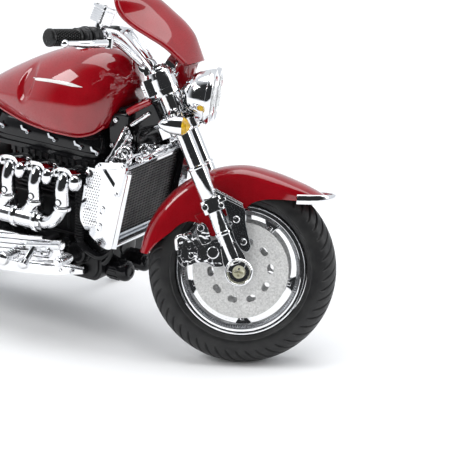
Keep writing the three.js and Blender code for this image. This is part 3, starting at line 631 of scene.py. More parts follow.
def add_front_wheel():
    size = FRONT_WHEEL
    piece("front_tyre_skin", tyre(FRONT_AXLE, pitches=50, **size), "front_wheel", "rubber", "front_tyre")
    ring = rim_ring(FRONT_AXLE, size["bead"], size["half"])
    piece("front_rim_ring", ring, "front_wheel", "chrome", "front_rim")
    piece("front_spokes", spokes(FRONT_AXLE, size["bead"], 7.6), "front_wheel", "chrome", bevel=0.35)
    for name, side in SIDES.items():
        disc = on_side(side, brake_disc(FRONT_AXLE, -8.1, DISC_R, 10.65, 10, 8))
        piece(f"front_disc_{name}_plate", disc, "front_wheel", "disc", f"front_disc_{name}", bevel=0.08)


def add_rear_wheel():
    size = REAR_WHEEL
    piece("rear_tyre_skin", tyre(REAR_AXLE, pitches=44, **size), "rear_wheel", "rubber", "rear_tyre")
    piece("rear_rim_ring", rim_ring(REAR_AXLE, size["bead"], size["half"]), "rear_wheel", "chrome",
          "rear_rim")
    piece("rear_spokes", spokes(REAR_AXLE, size["bead"], 10.4), "rear_wheel", "chrome", bevel=0.35)
    disc = brake_disc(REAR_AXLE, -11.1, 14.5, 9.4, 10, 8)
    piece("rear_disc_plate", disc, "rear_wheel", "disc", "rear_disc", bevel=0.08)


# ---- fork, calipers and front fender -------------------------------------------------------------
def fork_turned(profile, f, y, sides=48):
    """A turned part along a fork leg, from (s, radius) points."""
    return turned(profile, facing(fork(0, f, y), UP), sides)


def cross_screw(point, direction, r):
    """A screw head with a cross recess."""
    place = facing(point, direction)
    arm, wide = r * 0.62, r * 0.17
    cross = [(arm, -wide), (arm, wide), (wide, wide), (wide, arm), (-wide, arm), (-wide, wide),
             (-arm, wide), (-arm, -wide), (-wide, -wide), (-wide, -arm), (wide, -arm), (wide, -wide)]
    head = slab(ellipse(r * 0.86, sides=40), 1.3, place @ raised(-0.3), [cross[::-1]])
    skirt = turned([(-0.6, 0), (-0.6, r), (0.35, r), (0.7, r * 0.9), (0.86, r * 0.84), (0.86, r * 0.7),
                    (0.3, r * 0.62), (-0.35, r * 0.6), (-0.35, 0)], place, 40)
    return merge(head, skirt)


def add_fork_leg(name, side):
    y = -LEG_Y
    low = [(3, 0), (3, 2.9), (14, 2.9), (14.2, 3.25), (15.2, 3.25), (15.4, 2.9), (26.6, 2.9), (27.2, 3.3),
           (39.0, 3.3), (39.2, 3.5), (40.0, 3.5), (40.2, 3.3), (40.2, 3.0), (31, 3.0), (31, 0)]
    clamp = rectangle(1.4, 9.6, y - 3.9, y + 3.7)
    lug_outer = merge(fork_turned(low, FORK_OFFSET, y), soft_slab(clamp, 2.6, 4.9, fork_flat(22.8)),
                      soft_slab(rectangle(8, 11, -17.4, -12.4), 0.6, 1.3, fork_flat(25.2)))
    piece(f"fork_slider_{name}", on_side(side, lug_outer), "fork_slider", "chrome", f"fork_leg_{name}",
          bevel=0.3)

    hub = turned([(9.4, 0), (9.4, 4.7), (9.9, 5.1), (15.4, 5.1), (16.2, 5.0), (16.6, 4.6), (16.6, 4.25),
                  (16.2, 3.95), (14.6, 3.75), (14.6, 0)], facing(FRONT_AXLE, RIGHT), 64)
    web = soft_slab([(1.0, 4), (2.6, 11), (8, 11), (9.6, 4), (8, 0.5), (2.6, 0.5)], 1.2, 4.4,
                    fork_side(y + 2.2))
    piece(f"axle_lug_{name}", on_side(side, hub, web), "fork_slider", "chrome", bevel=0.25)
    screw = cross_screw(FRONT_AXLE + RIGHT * 15.0, RIGHT, 2.35)
    piece(f"axle_screw_{name}", on_side(side, screw), "fork_slider", "zinc", "front_axle", bevel=0.08)

    bolts = [bolt(fork(24.2, 8.6, y - 3.8), RIGHT, 1.0, 0.8),
             bolt(fork(25.6, 3.0, y - 3.8), RIGHT, 1.2, 0.9), bolt(fork(27.7, 8.0, y - 2.0), UP, 0.9, 0.7)]
    piece(f"leg_clamp_bolts_{name}", on_side(side, *bolts), "fork_slider", "chrome")
    tube_part = fork_turned([(35.5, 0), (35.5, 2.9), (72, 2.9), (72, 0)], FORK_OFFSET, y)
    piece(f"fork_stanchion_{name}", on_side(side, tube_part), "steering", "chrome", f"fork_tube_{name}")


def add_fender_bracket(name, side):
    """The tapered plate between the leg and the fender's valance, with a ribbed top edge."""
    outline = [(8.7, 29.4), (14.9, 21.9), (15.7, 19.6), (13.9, 15), (13.0, 9.6), (12.4, 6.2), (10.4, 5.2),
               (8.8, 7.4), (8.3, 12), (9.6, 25.6), (8.2, 28.2)]
    plate = soft_slab(outline, 1.2, 3.2, fork_side(-12.2))
    piece(f"fender_bracket_{name}", on_side(side, plate), "fork_slider", "painted-shade chrome", bevel=0.3)
    start, end = Vector((8.4, 30.0)), Vector((15.5, 21.5))
    along = end - start
    ribs = []
    count = 20
    for k in range(count):
        low, high = start + along * (k + 0.12) / count, start + along * (k + 0.88) / count
        out = Vector((-along.y, along.x)).normalized() * 0.55
        ribs.append(slab([low - out * 0.5, high - out * 0.5, high + out, low + out], 4.2, fork_side(-11.8)))
    rail = soft_slab([start - along * 0.05, end + along * 0.03, (15.1, 20.6), (8.0, 28.6)], 0.5, 3.9,
                     fork_side(-11.9))
    piece(f"fender_bracket_rib_{name}", on_side(side, rail, *ribs), "fork_slider", "chrome", bevel=0.1)
    bolts = [bolt(fork(17.6, 11.5, -15.4), RIGHT, 1.25, 0.9), bolt(fork(9.3, 10.9, -15.4), RIGHT, 1.2, 0.9),
             bolt(fork(17.0, 9.0, -15.3), RIGHT, 0.7, 0.6)]
    piece(f"fender_bracket_bolts_{name}", on_side(side, *bolts), "fork_slider", "chrome")


def add_caliper(name, side):
    """A brake caliper of two halves, its lower edge curved round the disc's carrier."""
    body = [(-13.2, 9.2), (-13.8, 12.2), (-11.2, 16.9), (-8.4, 19.6), (-5.6, 19.8), (-4.6, 16.2),
            (-3.6, 14.4), (2.4, 13.6), (3.2, 9), (2.2, 4.4), (0, 3.6), (-2.6, 4.6), (-4.6, 7.2),
            (-7.4, 8.4), (-10.2, 8.3)]
    back = soft_slab(body, 0.9, 3.0, fork_side(-9.2))
    pad = [(-12.2, 10.4), (-12.2, 12.4), (-9.8, 16.2), (-7.8, 17.6), (-6.2, 16.2), (-5.4, 12.6),
           (-6.6, 10.2), (-9.6, 9.6)]
    bridge = [(-12.9, 12.6), (-12.5, 14.4), (-9.6, 17.8), (-8, 18.6), (-8.6, 16.6), (-11.2, 13.2)]
    piston = turned([(0, 2.2), (1.0, 2.2), (1.3, 1.9), (1.3, 0)], facing(fork(9.6, -0.9, -12.1), RIGHT), 32)
    arm = [(-3.3, 20.8), (-0.4, 21.0), (0.6, 19.2), (0.2, 13.2), (-3.6, 13.2), (-3.9, 17)]
    parts = merge(back, soft_slab(pad, 0.8, 1.2, fork_side(-12.1)),
                  soft_slab(bridge, 0.6, 5.0, fork_side(-7.9)), soft_slab(arm, 1.2, 2.0, fork_side(-10.4)),
                  piston)
    piece(f"caliper_{name}_body", on_side(side, parts), "fork_slider", "wavy chrome", f"caliper_{name}",
          bevel=0.5)
    places = [(19.3, -1.6, -12.4, 1.3), (18.0, -6.4, -12.0, 1.15), (11.6, -8.3, -13.2, 1.1),
              (9.6, -11.6, -12.1, 1.2), (7.4, -2.9, -12.1, 1.0), (14.4, -8.0, -13.2, 0.7)]
    screws = [bolt(fork(s, f, y), RIGHT, r, 1.0) for s, f, y, r in places]
    piece(f"caliper_bolts_{name}", on_side(side, *screws), "fork_slider", "chrome")
    line = tube([fork(17.4, -7.4, -12.4), fork(19.4, -9.2, -13.4), fork(18.8, -11.2, -13.2),
                 fork(15.4, -12.4, -12.6)], 0.6, 12)
    piece(f"brake_pipe_{name}", on_side(side, line), "fork_slider", "chrome")


FENDER_CURL = 2.3               # 2 would make the crown an ellipse, and more makes it squarer


def shell(centre, table, step, thick):
    """A fender round a wheel; table rows are (degrees, crown radius, edge radius, half-width)."""
    rings = []
    low, high = min(row[0] for row in table), max(row[0] for row in table)
    count = int(round((high - low) / step))
    for k in range(count + 1):
        degrees = low + (high - low) * k / count
        crown, edge, half = blended(table, degrees)
        shoulder = max(edge + 0.2, crown - min(4.8, half * 0.55))
        right = [(-half * (0.985 + 0.015 * t), edge + (shoulder - edge) * t)
                 for t in (0, 0.08, 0.3, 0.6, 0.85)]
        for j in range(15):
            phi = pi / 2 * j / 14
            right.append((-half * cos(phi) ** (2 / FENDER_CURL),
                          shoulder + (crown - shoulder) * sin(phi) ** (2 / FENDER_CURL)))
        outer = right + [(-y, r) for y, r in reversed(right[:-1])]
        inner = [(y * (1 - thick / half), max(r - thick, edge)) for y, r in reversed(outer)]
        angle = radians(degrees)
        rings.append([wheel_point(centre, r, y, angle) for y, r in outer + inner])
    return sheet(rings)


FRONT_FENDER = [(176, 37, 33.4, 9.0), (170, 37, 31.8, 9.2), (158, 37, 28.4, 9.2), (148, 37, 26.8, 9.2),
                (141.6, 37, 25.0, 9.2), (137.5, 37, 22.6, 9.2), (133, 37, 20.6, 9.2), (118, 37, 20.0, 9.2),
                (104, 37, 20.0, 9.2), (95, 37, 20.4, 9.2), (90.5, 36.9, 21.9, 9.2), (86.3, 36.7, 24.0, 9.2),
                (78, 36.5, 26.2, 9.2), (66, 36.9, 28.9, 8.9), (57, 37.9, 31.6, 8.2), (50, 39, 34.6, 7.2),
                (46, 39.7, 36.6, 5.8), (43, 40, 38, 3.6)]


def add_front_fender():
    piece("front_fender_shell", shell(FRONT_AXLE, FRONT_FENDER, 1.2, 0.8), "fork_slider",
          "red paint", "front_fender", smooth=50)
    for name, side in SIDES.items():
        tab = [(-2.6, 24), (-1.2, 19.4), (0.2, 15.4), (1.0, 14.5), (3.4, 14.6), (3.6, 24)]
        tab_part = soft_slab(tab, 0.7, 0.9, fork_side(-9.15))
        piece(f"fender_tab_{name}", on_side(side, tab_part), "fork_slider", "red paint", bevel=0.2)
    band = [(17.4, -9.5), (23.3, -8.5), (27.4, -6.4), (29.8, -3.2), (30.4, 0)]
    line = smooth_line([(x, y, 0) for x, y in band] + [(x, -y, 0) for x, y in reversed(band[:-1])], 6)
    tilt = Matrix.Translation(FRONT_AXLE + Vector((0, 0, 25.9))) @ spun(radians(-4), "Y")
    line = [tilt @ p for p in line]
    blade = [(-0.5, -1.6), (0.35, -1.75), (0.75, -1.2), (0.85, 0), (0.75, 1.2), (0.35, 1.75), (-0.5, 1.6)]
    rings = []
    for point, way in zip(line, ways_along(line)):
        out = way.cross(SKYWARD).normalized()
        rings.append([point + out * x + Vector((0, 0, z)) for x, z in blade])
    piece("fender_nose_blade", skin(rings), "fork_slider", "chrome", "fender_trim", bevel=0.15)


def add_fork():
    for name, side in SIDES.items():
        add_fork_leg(name, side)
        add_fender_bracket(name, side)
        add_caliper(name, side)


# ---- yokes, handlebar and its controls -----------------------------------------------------------
def yoke_outline(clamp_r, nose, tail):
    """Two round leg clamps joined by a bridge over the steering stem, as (f, y) points."""
    right = [(FORK_OFFSET + clamp_r * cos(t), -LEG_Y - clamp_r * sin(t)) for t in
             (radians(-20 + 20 * k) for k in range(12))]
    half = [(nose, -5.5), (FORK_OFFSET + clamp_r * 0.9, -8.6), *right, (tail + 0.6, -8.0), (tail, -4.5)]
    return half + [(f, -y) for f, y in reversed(half)]


def add_yokes():
    bore = ellipse(2.95, sides=32)
    holes = [[(FORK_OFFSET + x, side * LEG_Y + y) for x, y in bore] for side in SIDES.values()]
    low = slab(yoke_outline(4.6, 8.2, -3.6), 4.2, fork_flat(52.9), holes)
    stem = fork_turned([(52.9, 0), (52.9, 2), (70.4, 2), (70.4, 0)], 0, 0)
    clamps, bolts = [], []
    for side in SIDES.values():
        clamps.append(soft_slab([(7.4, -2.1), (11.2, -1.8), (11.2, 1.8), (7.4, 2.1)], 0.5, 3.4,
                                Matrix.Translation(LEFT * side * LEG_Y) @ fork_flat(53.3)))
        bolts.append(bolt(fork(55.0, 9.8, side * (LEG_Y - 1.9)), LEFT * -side, 1.0, 0.9))
    piece("lower_yoke_casting", merge(low, stem, *clamps), "steering", "chrome", "lower_yoke", bevel=0.35)

    top = slab(yoke_outline(4.9, 7.8, -3.8), 3.9, fork_flat(69.6), holes)
    towers = []
    for side in SIDES.values():
        y = side * LEG_Y
        towers.append(fork_turned([(66.9, 2.95), (66.9, 4.2), (67.4, 4.6), (75.4, 4.6), (76.0, 4.2),
                                   (76.0, 2.95)], FORK_OFFSET, y))
        towers.append(fork_turned([(73.0, 0), (73.0, 2.9), (76.8, 2.9), (77.3, 2.5), (77.3, 1.5),
                                   (76.7, 1.4), (76.7, 0)], FORK_OFFSET, y))
        towers.append(soft_slab([(-1.6, y - 3.2), (3.0, y - 3.6), (3.0, y + 3.6), (-1.6, y + 3.2)], 1.0,
                                6.0, fork_flat(68.6)))
        riser = side * 6.5
        towers.append(fork_turned([(73, 3.0), (74, 2.6), (77.4, 2.6), (77.4, 0)], 2.5, riser))
        saddle = rectangle(-0.8, 5.8, riser - 2.4, riser + 2.4)
        towers.append(soft_slab(saddle, 0.7, 1.6, fork_flat(76.2)))
        bolts += [bolt(fork(77.8, f, riser), UP, 0.8, 0.7) for f in (-0.1, 5.1)]
        bolts.append(bolt(fork(71.6, -1.8, y - side * 1.2), -AHEAD, 0.9, 0.8))
    nut_part = nut(fork(73.4, 0, 0), UP, 2.6, 1.5)
    piece("upper_yoke_casting", merge(top, *towers), "steering", "chrome", "upper_yoke", bevel=0.3)
    piece("yoke_bolts", merge(nut_part, *bolts), "steering", "chrome")


BAR_R = 1.7
BAR_BENDS = [(44.4, -7, 101.6), (40.8, -12, 104.9), (36.8, -17, 108.4), (33, -22, 110.5)]
GRIP_START = Vector((29.8, -27.2, 110.6))
GRIP_END = Vector((12, -47.5, 109))
GRIP_WAY = (GRIP_END - GRIP_START).normalized()
GRIP_AHEAD = Vector((-GRIP_WAY.y, GRIP_WAY.x, 0)).normalized()


def grip():
    """A rubber grip with rings of small blocks, as knurled rubber has, and a plain end collar."""
    place = facing(GRIP_START + GRIP_WAY * 10.2, GRIP_WAY)
    profile = [(0, 1.8, 0), (0, 3.35, 0), (0.8, 3.35, 0), (1.0, 2.75, 0)]
    rows = 12
    for k in range(rows):
        z = 1.2 + 0.86 * k
        shift = 1 + 2 * (k % 2)
        profile += [(z, 2.55, 0), (z + 0.12, 3.05, shift), (z + 0.6, 3.05, shift), (z + 0.72, 2.55, 0)]
    profile += [(11.7, 2.75, 0), (11.8, 3.2, 0), (12.7, 3.2, 0), (13.2, 2.7, 0), (13.3, 0, 0)]
    lobes = 80
    rings = []
    for z, r, shift in profile:
        ring = []
        for k in range(lobes):
            cut = 0.4 if shift and (k + shift) % 4 == 0 else 0
            angle = 2 * pi * k / lobes
            ring.append(place @ Vector(((r - cut) * cos(angle), (r - cut) * sin(angle), z)))
        rings.append(ring)
    return skin(rings)


def switch_housing(place_along, width, buttons):
    """A split switch housing on the bar, with buttons on its face."""
    place = facing(GRIP_START + GRIP_WAY * place_along, GRIP_WAY)
    halves = [turned([(0, 1.8), (0, 3.1), (0.5, 3.5), (width / 2 - 0.15, 3.6), (width / 2 - 0.05, 3.35)],
                     place, 40), turned([(width / 2 + 0.05, 3.35), (width / 2 + 0.15, 3.6),
                                         (width - 0.5, 3.5), (width, 3.1), (width, 1.8)], place, 40)]
    lump = soft_slab([(-2.2, -3.4), (2.6, -3.6), (3.0, 2.6), (-2.0, 3.4)], 1.0, width * 0.7,
                     place @ raised(width * 0.15))
    face = GRIP_START + GRIP_WAY * (place_along + width / 2) - GRIP_AHEAD * 3.2
    studs = [bolt(face + GRIP_WAY * dx + Vector((0, 0, dz)), -GRIP_AHEAD, r, 0.9) for dx, dz, r in buttons]
    return merge(*halves, lump, *studs)


def lever(name, side):
    """A hand lever: a perch round the bar, a flat blade that bends and a ball at its end."""
    perch = GRIP_START + GRIP_AHEAD * 5.2 - Vector((0, 0, 1.6))
    points = [perch - GRIP_WAY * 1.2, perch + GRIP_WAY * 4 + GRIP_AHEAD * 0.5,
              perch + GRIP_WAY * 9 + GRIP_AHEAD * 0.9, perch + GRIP_WAY * 14 + GRIP_AHEAD * 0.2,
              perch + GRIP_WAY * 19.5]
    line = smooth_line(points, 8)
    blade = swept(line, ellipse(0.72, 1.1), smooth_sizes((1.35, 1.2, 1.0, 0.85, 0.8), 8))
    ball = turned(symmetric([(0, 1.42), (0.7, 1.2), (1.2, 0.75), (1.4, 0)]),
                  facing(perch + GRIP_WAY * 20, GRIP_WAY), 28)
    knuckle = merge(rod(perch + Vector((0, 0, -1.9)), perch + Vector((0, 0, 1.9)), 1.5),
                    bolt(perch + Vector((0, 0, 1.9)), SKYWARD, 1.0, 0.6))
    arm = swept([perch, GRIP_START + GRIP_WAY * -0.9 + GRIP_AHEAD * 1.8], ellipse(1.5, 1.0, 20))
    piece(f"{name}_blade", on_side(side, blade, ball, knuckle, arm), "steering", "chrome", name)


def add_reservoir():
    """The ribbed fluid box over the brake lever's perch, and the hoses from the controls to the fork."""
    middle = Vector((29.4, -26.0, 115.6))
    up = Vector((0.28, -0.04, 1)).normalized()
    place = facing(middle, up, GRIP_AHEAD)
    wall = rounded(rectangle(-2.6, 2.6, -3.2, 3.2), 0.8)
    body = slab(wall, 4.6, place)
    ribs = [slab([(x * 1.07, y * 1.06) for x, y in wall], 0.42, place @ raised(0.5 + 0.85 * k))
            for k in range(5)]
    lid = soft_slab(rectangle(-3.0, 3.0, -3.6, 3.6), 0.9, 1.0, place @ raised(4.9))
    screws = [bolt(place @ Vector((x, y, 5.9)), up, 0.6, 0.4)
              for x, y in ((-1.9, -2.4), (1.9, 2.4), (-1.9, 2.4), (1.9, -2.4))]
    piece("brake_fluid_box", merge(body, *ribs, lid, *screws), "steering", "chrome", "brake_reservoir",
          bevel=0.12)
    stem = tube([middle + up * 0.4, middle - up * 1.6, GRIP_START + Vector((-0.6, 0.8, 0.6))], 1.3, 16)
    piece("brake_fluid_stem", stem, "steering", "chrome")
    for name, side in SIDES.items():
        hose = tube([(30.6, -26.0, 113.4), (36, -21.5, 112.4), (41.4, -15, 107), (46.6, -9.5, 101.0),
                     (51.2, -7.4, 94.6)], 0.75, 12)
        piece(f"control_hose_{name}", on_side(side, hose), "steering", "chrome")


def add_instruments():
    """Two small dials and the bracket that carries them."""
    for name, side in SIDES.items():
        centre = fork(76.6, 9.2, side * 5.2)
        way = (UP * 0.9 - AHEAD * 0.55).normalized()
        cup = turned([(-5.2, 0), (-5.2, 1.6), (-4, 3.4), (-1, 4.3), (1.4, 4.5), (1.9, 4.2), (1.9, 3.9),
                      (1.2, 3.8), (1.2, 0)], facing(centre, way), 48)
        piece(f"dial_cup_{name}", cup, "steering", "chrome")
        ticks = []
        for k in range(11):
            angle = radians(-210 + 24 * k)
            spot = facing(centre, way) @ spun(angle)
            ticks.append(slab(rectangle(2.7, 3.5, -0.1, 0.1), 0.06, spot @ raised(1.24)))
        needle = slab([(-0.6, -0.22), (2.6, -0.06), (2.6, 0.06), (-0.6, 0.22)], 0.12,
                      facing(centre, way) @ spun(radians(-150)) @ raised(1.4))
        face = turned([(1.15, 0), (1.15, 3.85), (1.24, 3.85), (1.24, 0)], facing(centre, way), 40)
        piece(f"dial_face_{name}", face, "steering", "gloss black")
        piece(f"dial_marks_{name}", merge(*ticks, needle), "steering", "stripe")
    bar = soft_slab(rectangle(6.6, 9.6, -8.4, 8.4), 1.0, 1.8, fork_flat(73.2))
    piece("dial_bracket", bar, "steering", "gloss black", bevel=0.3)


def add_handlebar():
    right = [Vector(p) for p in BAR_BENDS]
    left = [Vector((p.x, -p.y, p.z)) for p in right]
    end = Vector((GRIP_START.x, -GRIP_START.y, GRIP_START.z))
    line = [GRIP_START + GRIP_WAY * 11, GRIP_START, *reversed(right), Vector((45, 0, 100.6)), *left, end,
            end + Vector((GRIP_WAY.x, -GRIP_WAY.y, GRIP_WAY.z)) * 11]
    piece("handlebar_tube", tube(line, BAR_R, 28, 8), "steering", "chrome", "handlebar")
    for name, side in SIDES.items():
        piece(f"grip_{name}_rubber", on_side(side, grip()), "steering", "grip", f"grip_{name}")
        housing = merge(switch_housing(0.6, 4.6, ((-0.9, 1.0, 0.6), (0.9, 0.9, 0.5), (0.2, -1.2, 0.7))),
                        switch_housing(5.8, 3.6, ((0.1, 0.9, 0.5),)))
        piece(f"switch_housing_{name}", on_side(side, housing), "steering", "black", bevel=0.12)
        lever("brake_lever" if side < 0 else "clutch_lever", side)
    collars = [turned([(0, 1.7), (0, 2.5), (1.6, 2.5), (1.6, 1.7)], facing(p, w), 32)
               for p, w in ((Vector((32.2, -23.4, 110.7)), GRIP_WAY),
                            (Vector((32.2, 23.4, 110.7)), Vector((-GRIP_WAY.x, GRIP_WAY.y, -GRIP_WAY.z))))]
    piece("bar_collars", merge(*collars), "steering", "chrome")
    clamp = [turned(symmetric([(2.2, 2.7), (2.2, 1.6)]), facing((44.6, y, 101.5), LEFT), 32)
             for y in (-6.5, 6.5)]
    piece("bar_clamps", merge(*clamp), "steering", "chrome", bevel=0.2)
    add_reservoir()
    add_instruments()


# ---- lamps and screen ----------------------------------------------------------------------------
LAMP_AIM = Vector((cos(radians(4)), 0, -sin(radians(4))))
LAMP_CENTRE = Vector((58.6, -10.4, 93.9))
LENS_FLUTES = 22


def fluted_lens(centre, aim, radius, depth):
    """A domed lens whose outer face has upright flutes."""
    place = facing(centre, aim)
    rings = []
    rows = 14
    columns = 96
    for row in range(rows + 1):
        r = radius * row / rows
        ring = []
        for k in range(columns):
            x, y = r * cos(2 * pi * k / columns), r * sin(2 * pi * k / columns)
            wave = 0.14 * abs(sin(LENS_FLUTES * pi * y / (2 * radius))) * (1 - row / rows) ** 0.3
            ring.append(place @ Vector((x, y, depth * sqrt(max(0, 1 - (r / radius) ** 2 * 0.98)) - wave)))
        rings.append(ring)
    back = [[place @ Vector((r * cos(2 * pi * k / columns), r * sin(2 * pi * k / columns), -0.3))
             for k in range(columns)] for r in (radius, 0)]
    return skin(rings + back)


def add_headlights():
    for name, side in SIDES.items():
        place = facing(LAMP_CENTRE, LAMP_AIM)
        bowl = turned([(0.1, 0), (0.1, 2.0), (0.5, 3.4), (1.4, 5.2), (3.0, 6.9), (5.4, 8.3), (8.2, 9.1),
                       (9.0, 9.3), (9.2, 9.75), (9.7, 9.95), (10.6, 9.95), (11.1, 9.6), (11.2, 9.0),
                       (10.6, 8.75), (9.0, 8.6), (6.6, 7.4), (4.2, 5.2), (3.0, 2.6), (2.8, 0)], place, 96)
        piece(f"headlight_{name}_bowl", on_side(side, bowl), "steering", "chrome", f"headlight_{name}")
        bulb = turned([(2.8, 0), (2.8, 1.7), (5.2, 1.7), (6.0, 1.3), (6.3, 0.5), (6.3, 0)], place, 32)
        piece(f"headlight_{name}_bulb", on_side(side, bulb), "steering", "silver")
        lens = fluted_lens(LAMP_CENTRE + LAMP_AIM * 9.9, LAMP_AIM, 8.7, 1.9)
        piece(f"headlight_lens_{name}_glass", on_side(side, lens), "steering", "clear",
              f"headlight_lens_{name}")
        parts = [tube([fork(60, 9.0, -12.2), LAMP_CENTRE + Vector((0.4, 2.2, -9.4)),
                       LAMP_CENTRE + Vector((3.2, 1.0, -8.4))], 1.0, 14),
                 tube([fork(66, 8.2, -11.4), LAMP_CENTRE + Vector((-1.6, 1.6, -2.2))], 1.3, 14),
                 rod(LAMP_CENTRE + Vector((4.6, 1.6, -10.6)), LAMP_CENTRE + Vector((4.6, 1.6, -7.6)), 1.5),
                 nut(LAMP_CENTRE + Vector((0.6, 0, 0)), -LAMP_AIM, 1.6, 0.9)]
        piece(f"headlight_bracket_{name}", on_side(side, *parts), "steering", "chrome")
    bar = tube([(62.2, -10, 82.6), (63.4, 0, 83.4), (62.2, 10, 82.6)], 1.3, 18)
    piece("headlight_cross_bar", merge(bar, rod(fork(58, 7.4, -3), (61.5, -3, 83), 1.2),
                                       rod(fork(58, 7.4, 3), (61.5, 3, 83), 1.2)), "steering", "chrome")


def bullet(centre, aim):
    """A bullet-shaped turn signal: its plated body, then its lens."""
    place = facing(centre, aim)
    body = turned([(-1.2, 0), (-1.0, 0.7), (0, 1.6), (1.4, 2.4), (3.2, 3.0), (5.4, 3.3), (6.8, 3.4),
                   (7.0, 3.5), (7.4, 3.5), (7.5, 3.2), (7.5, 0)], place, 56)
    rows = [(7.4, 0), (7.4, 3.15), (8.2, 3.0), (8.25, 2.85), (9.0, 2.4), (9.05, 2.25), (9.8, 1.3),
            (10.2, 0.5), (10.3, 0)]
    return body, turned(rows, place, 56)


def add_signals():
    for name, side in SIDES.items():
        body, lens = bullet(Vector((53.5, -21.8, 82.5)), FORWARD)
        stalk = tube([fork(60.0, 5.0, -16.0), (56.6, -18.4, 82.2), (57.2, -20.4, 82.5)], 1.15, 18)
        cup = turned([(0, 2.2), (0.8, 1.9), (1.6, 1.3)], facing(fork(60.0, 5.0, -15.6), RIGHT), 32)
        piece(f"front_signal_{name}_body", on_side(side, body, stalk, cup), "steering", "chrome",
              f"front_signal_{name}")
        piece(f"front_signal_{name}_lens", on_side(side, lens), "steering", "amber")
        body, lens = bullet(Vector((-116, -19.4, 60)), BACKWARD)
        stalk = tube([(-120, -17.2, 60), (-119.4, -13, 60), (-117.5, -8.5, 59.4)], 1.15, 18)
        piece(f"rear_signal_{name}_body", on_side(side, body, stalk), "chassis", "chrome",
              f"rear_signal_{name}")
        piece(f"rear_signal_{name}_lens", on_side(side, lens), "chassis", "amber")


# The screen's stations from its chin to its top: height z, then the centre line's x, the half-width,
# and how far back and down the side edges lie from the centre line.
SCREEN = [(105.4, 64.6, 12.6, 4.6, 1.6), (110.6, 62.2, 13.6, 10, 0.8), (114.6, 60.1, 14, 14, 1.6),
          (118.4, 56.5, 14.2, 16.5, 2.2), (121.9, 51.9, 13.8, 16.8, 1.8), (125.3, 47.2, 12.4, 14, 0.6),
          (129, 41, 8.4, 7.5, 3.4)]
SCREEN_SHELL = 1.1


def screen_point(z, t, inside):
    x, half, back, down = blended(SCREEN, z)
    bend = t * t
    y = t * half * (1 - 0.06 * inside)
    return Vector((x - SCREEN_SHELL * inside - bend * back, y,
                   z - 0.7 * SCREEN_SHELL * inside - bend * down))


def add_screen():
    across = [k / 16 for k in range(-16, 17)]
    chin, brow = SCREEN[0][0], SCREEN[-1][0]
    rings = []
    for k in range(41):
        z = chin + (brow - chin) * k / 40
        outer = [screen_point(z, t, 0) for t in across]
        inner = [screen_point(z, t, 1) for t in reversed(across)]
        rings.append(outer + inner)
    piece("flyscreen_shell", sheet(rings), "steering", "red paint", "flyscreen", smooth=50)
    edge = [screen_point(106 + 23 * k / 12, -1, 0.5) for k in range(13)]
    top = [screen_point(129, t / 6, 0.5) for t in range(-5, 6)]
    other = [Vector((p.x, -p.y, p.z)) for p in reversed(edge)]
    piece("flyscreen_bead", tube([*edge, *top, *other], 1.0, 16, 3), "steering", "red paint")

    rings = []
    for z, x, half, depth in ((106.2, 63.2, 12.0, 5.4), (102.6, 62.2, 11.0, 6.4), (98.6, 61.4, 7.2, 5.4),
                              (94.6, 60.6, 4.2, 3.6), (91.8, 60.0, 2.2, 2.2)):
        front = [Vector((x - depth * (abs(t) ** 1.6), half * t, z)) for t in (k / 8 for k in range(-8, 9))]
        rings.append(front + [p - Vector((0.9, 0, 0.2)) for p in reversed(front)])
    piece("screen_bracket", skin(rings), "steering", "red paint", smooth=60, subdivide=1)
    for name, side in SIDES.items():
        arm = [tube([(57.2, -8.4, 104.2), (54.6, -8.0, 100.6), fork(74.4, 8.6, -7.4)], 1.0, 14),
               bolt((57.6, -9.6, 104.8), RIGHT, 1.1, 0.9)]
        piece(f"screen_stay_{name}", on_side(side, *arm), "steering", "chrome")


# ---- tank and steering-head cover ----------------------------------------------------------------
# The tank's stations: x, then its half-width, its top and its lower edge.
TANK = [(-28, 6.5, 84, 80.4), (-22, 10.5, 88, 80), (-12, 14.8, 93.6, 79), (0, 18.2, 99.4, 77.4),
        (10, 19.8, 103, 76.6), (20, 19.8, 105, 76.2), (28, 17.8, 104.8, 76.4), (34, 13, 102.5, 80),
        (37.4, 6.4, 98, 89)]
KNEE = (2.0, 91.5, 3.9, 7.0)    # the knee recess: centre x and z, half-width and half-height


def tank_point(x, degrees, lift=0.0):
    """A point of the tank's skin; 0 degrees is its left side, 90 its top and 180 its right side."""
    half, top, low = blended(TANK, x)
    angle = radians(degrees)
    y = half * cos(angle)
    z = low + (top - low) * (sin(angle) + 0.41) / 1.41
    off = hypot((x - KNEE[0] - 0.10 * (z - KNEE[1])) / KNEE[2], (z - KNEE[1]) / KNEE[3])
    dent = 1.7 * (1 - ramp(off, 0.6, 1.05)) if abs(y) > 8 else 0
    reach = hypot(y, z - low)
    return Vector((x, y * (1 - dent / half + lift / reach), z + lift * (z - low) / reach))


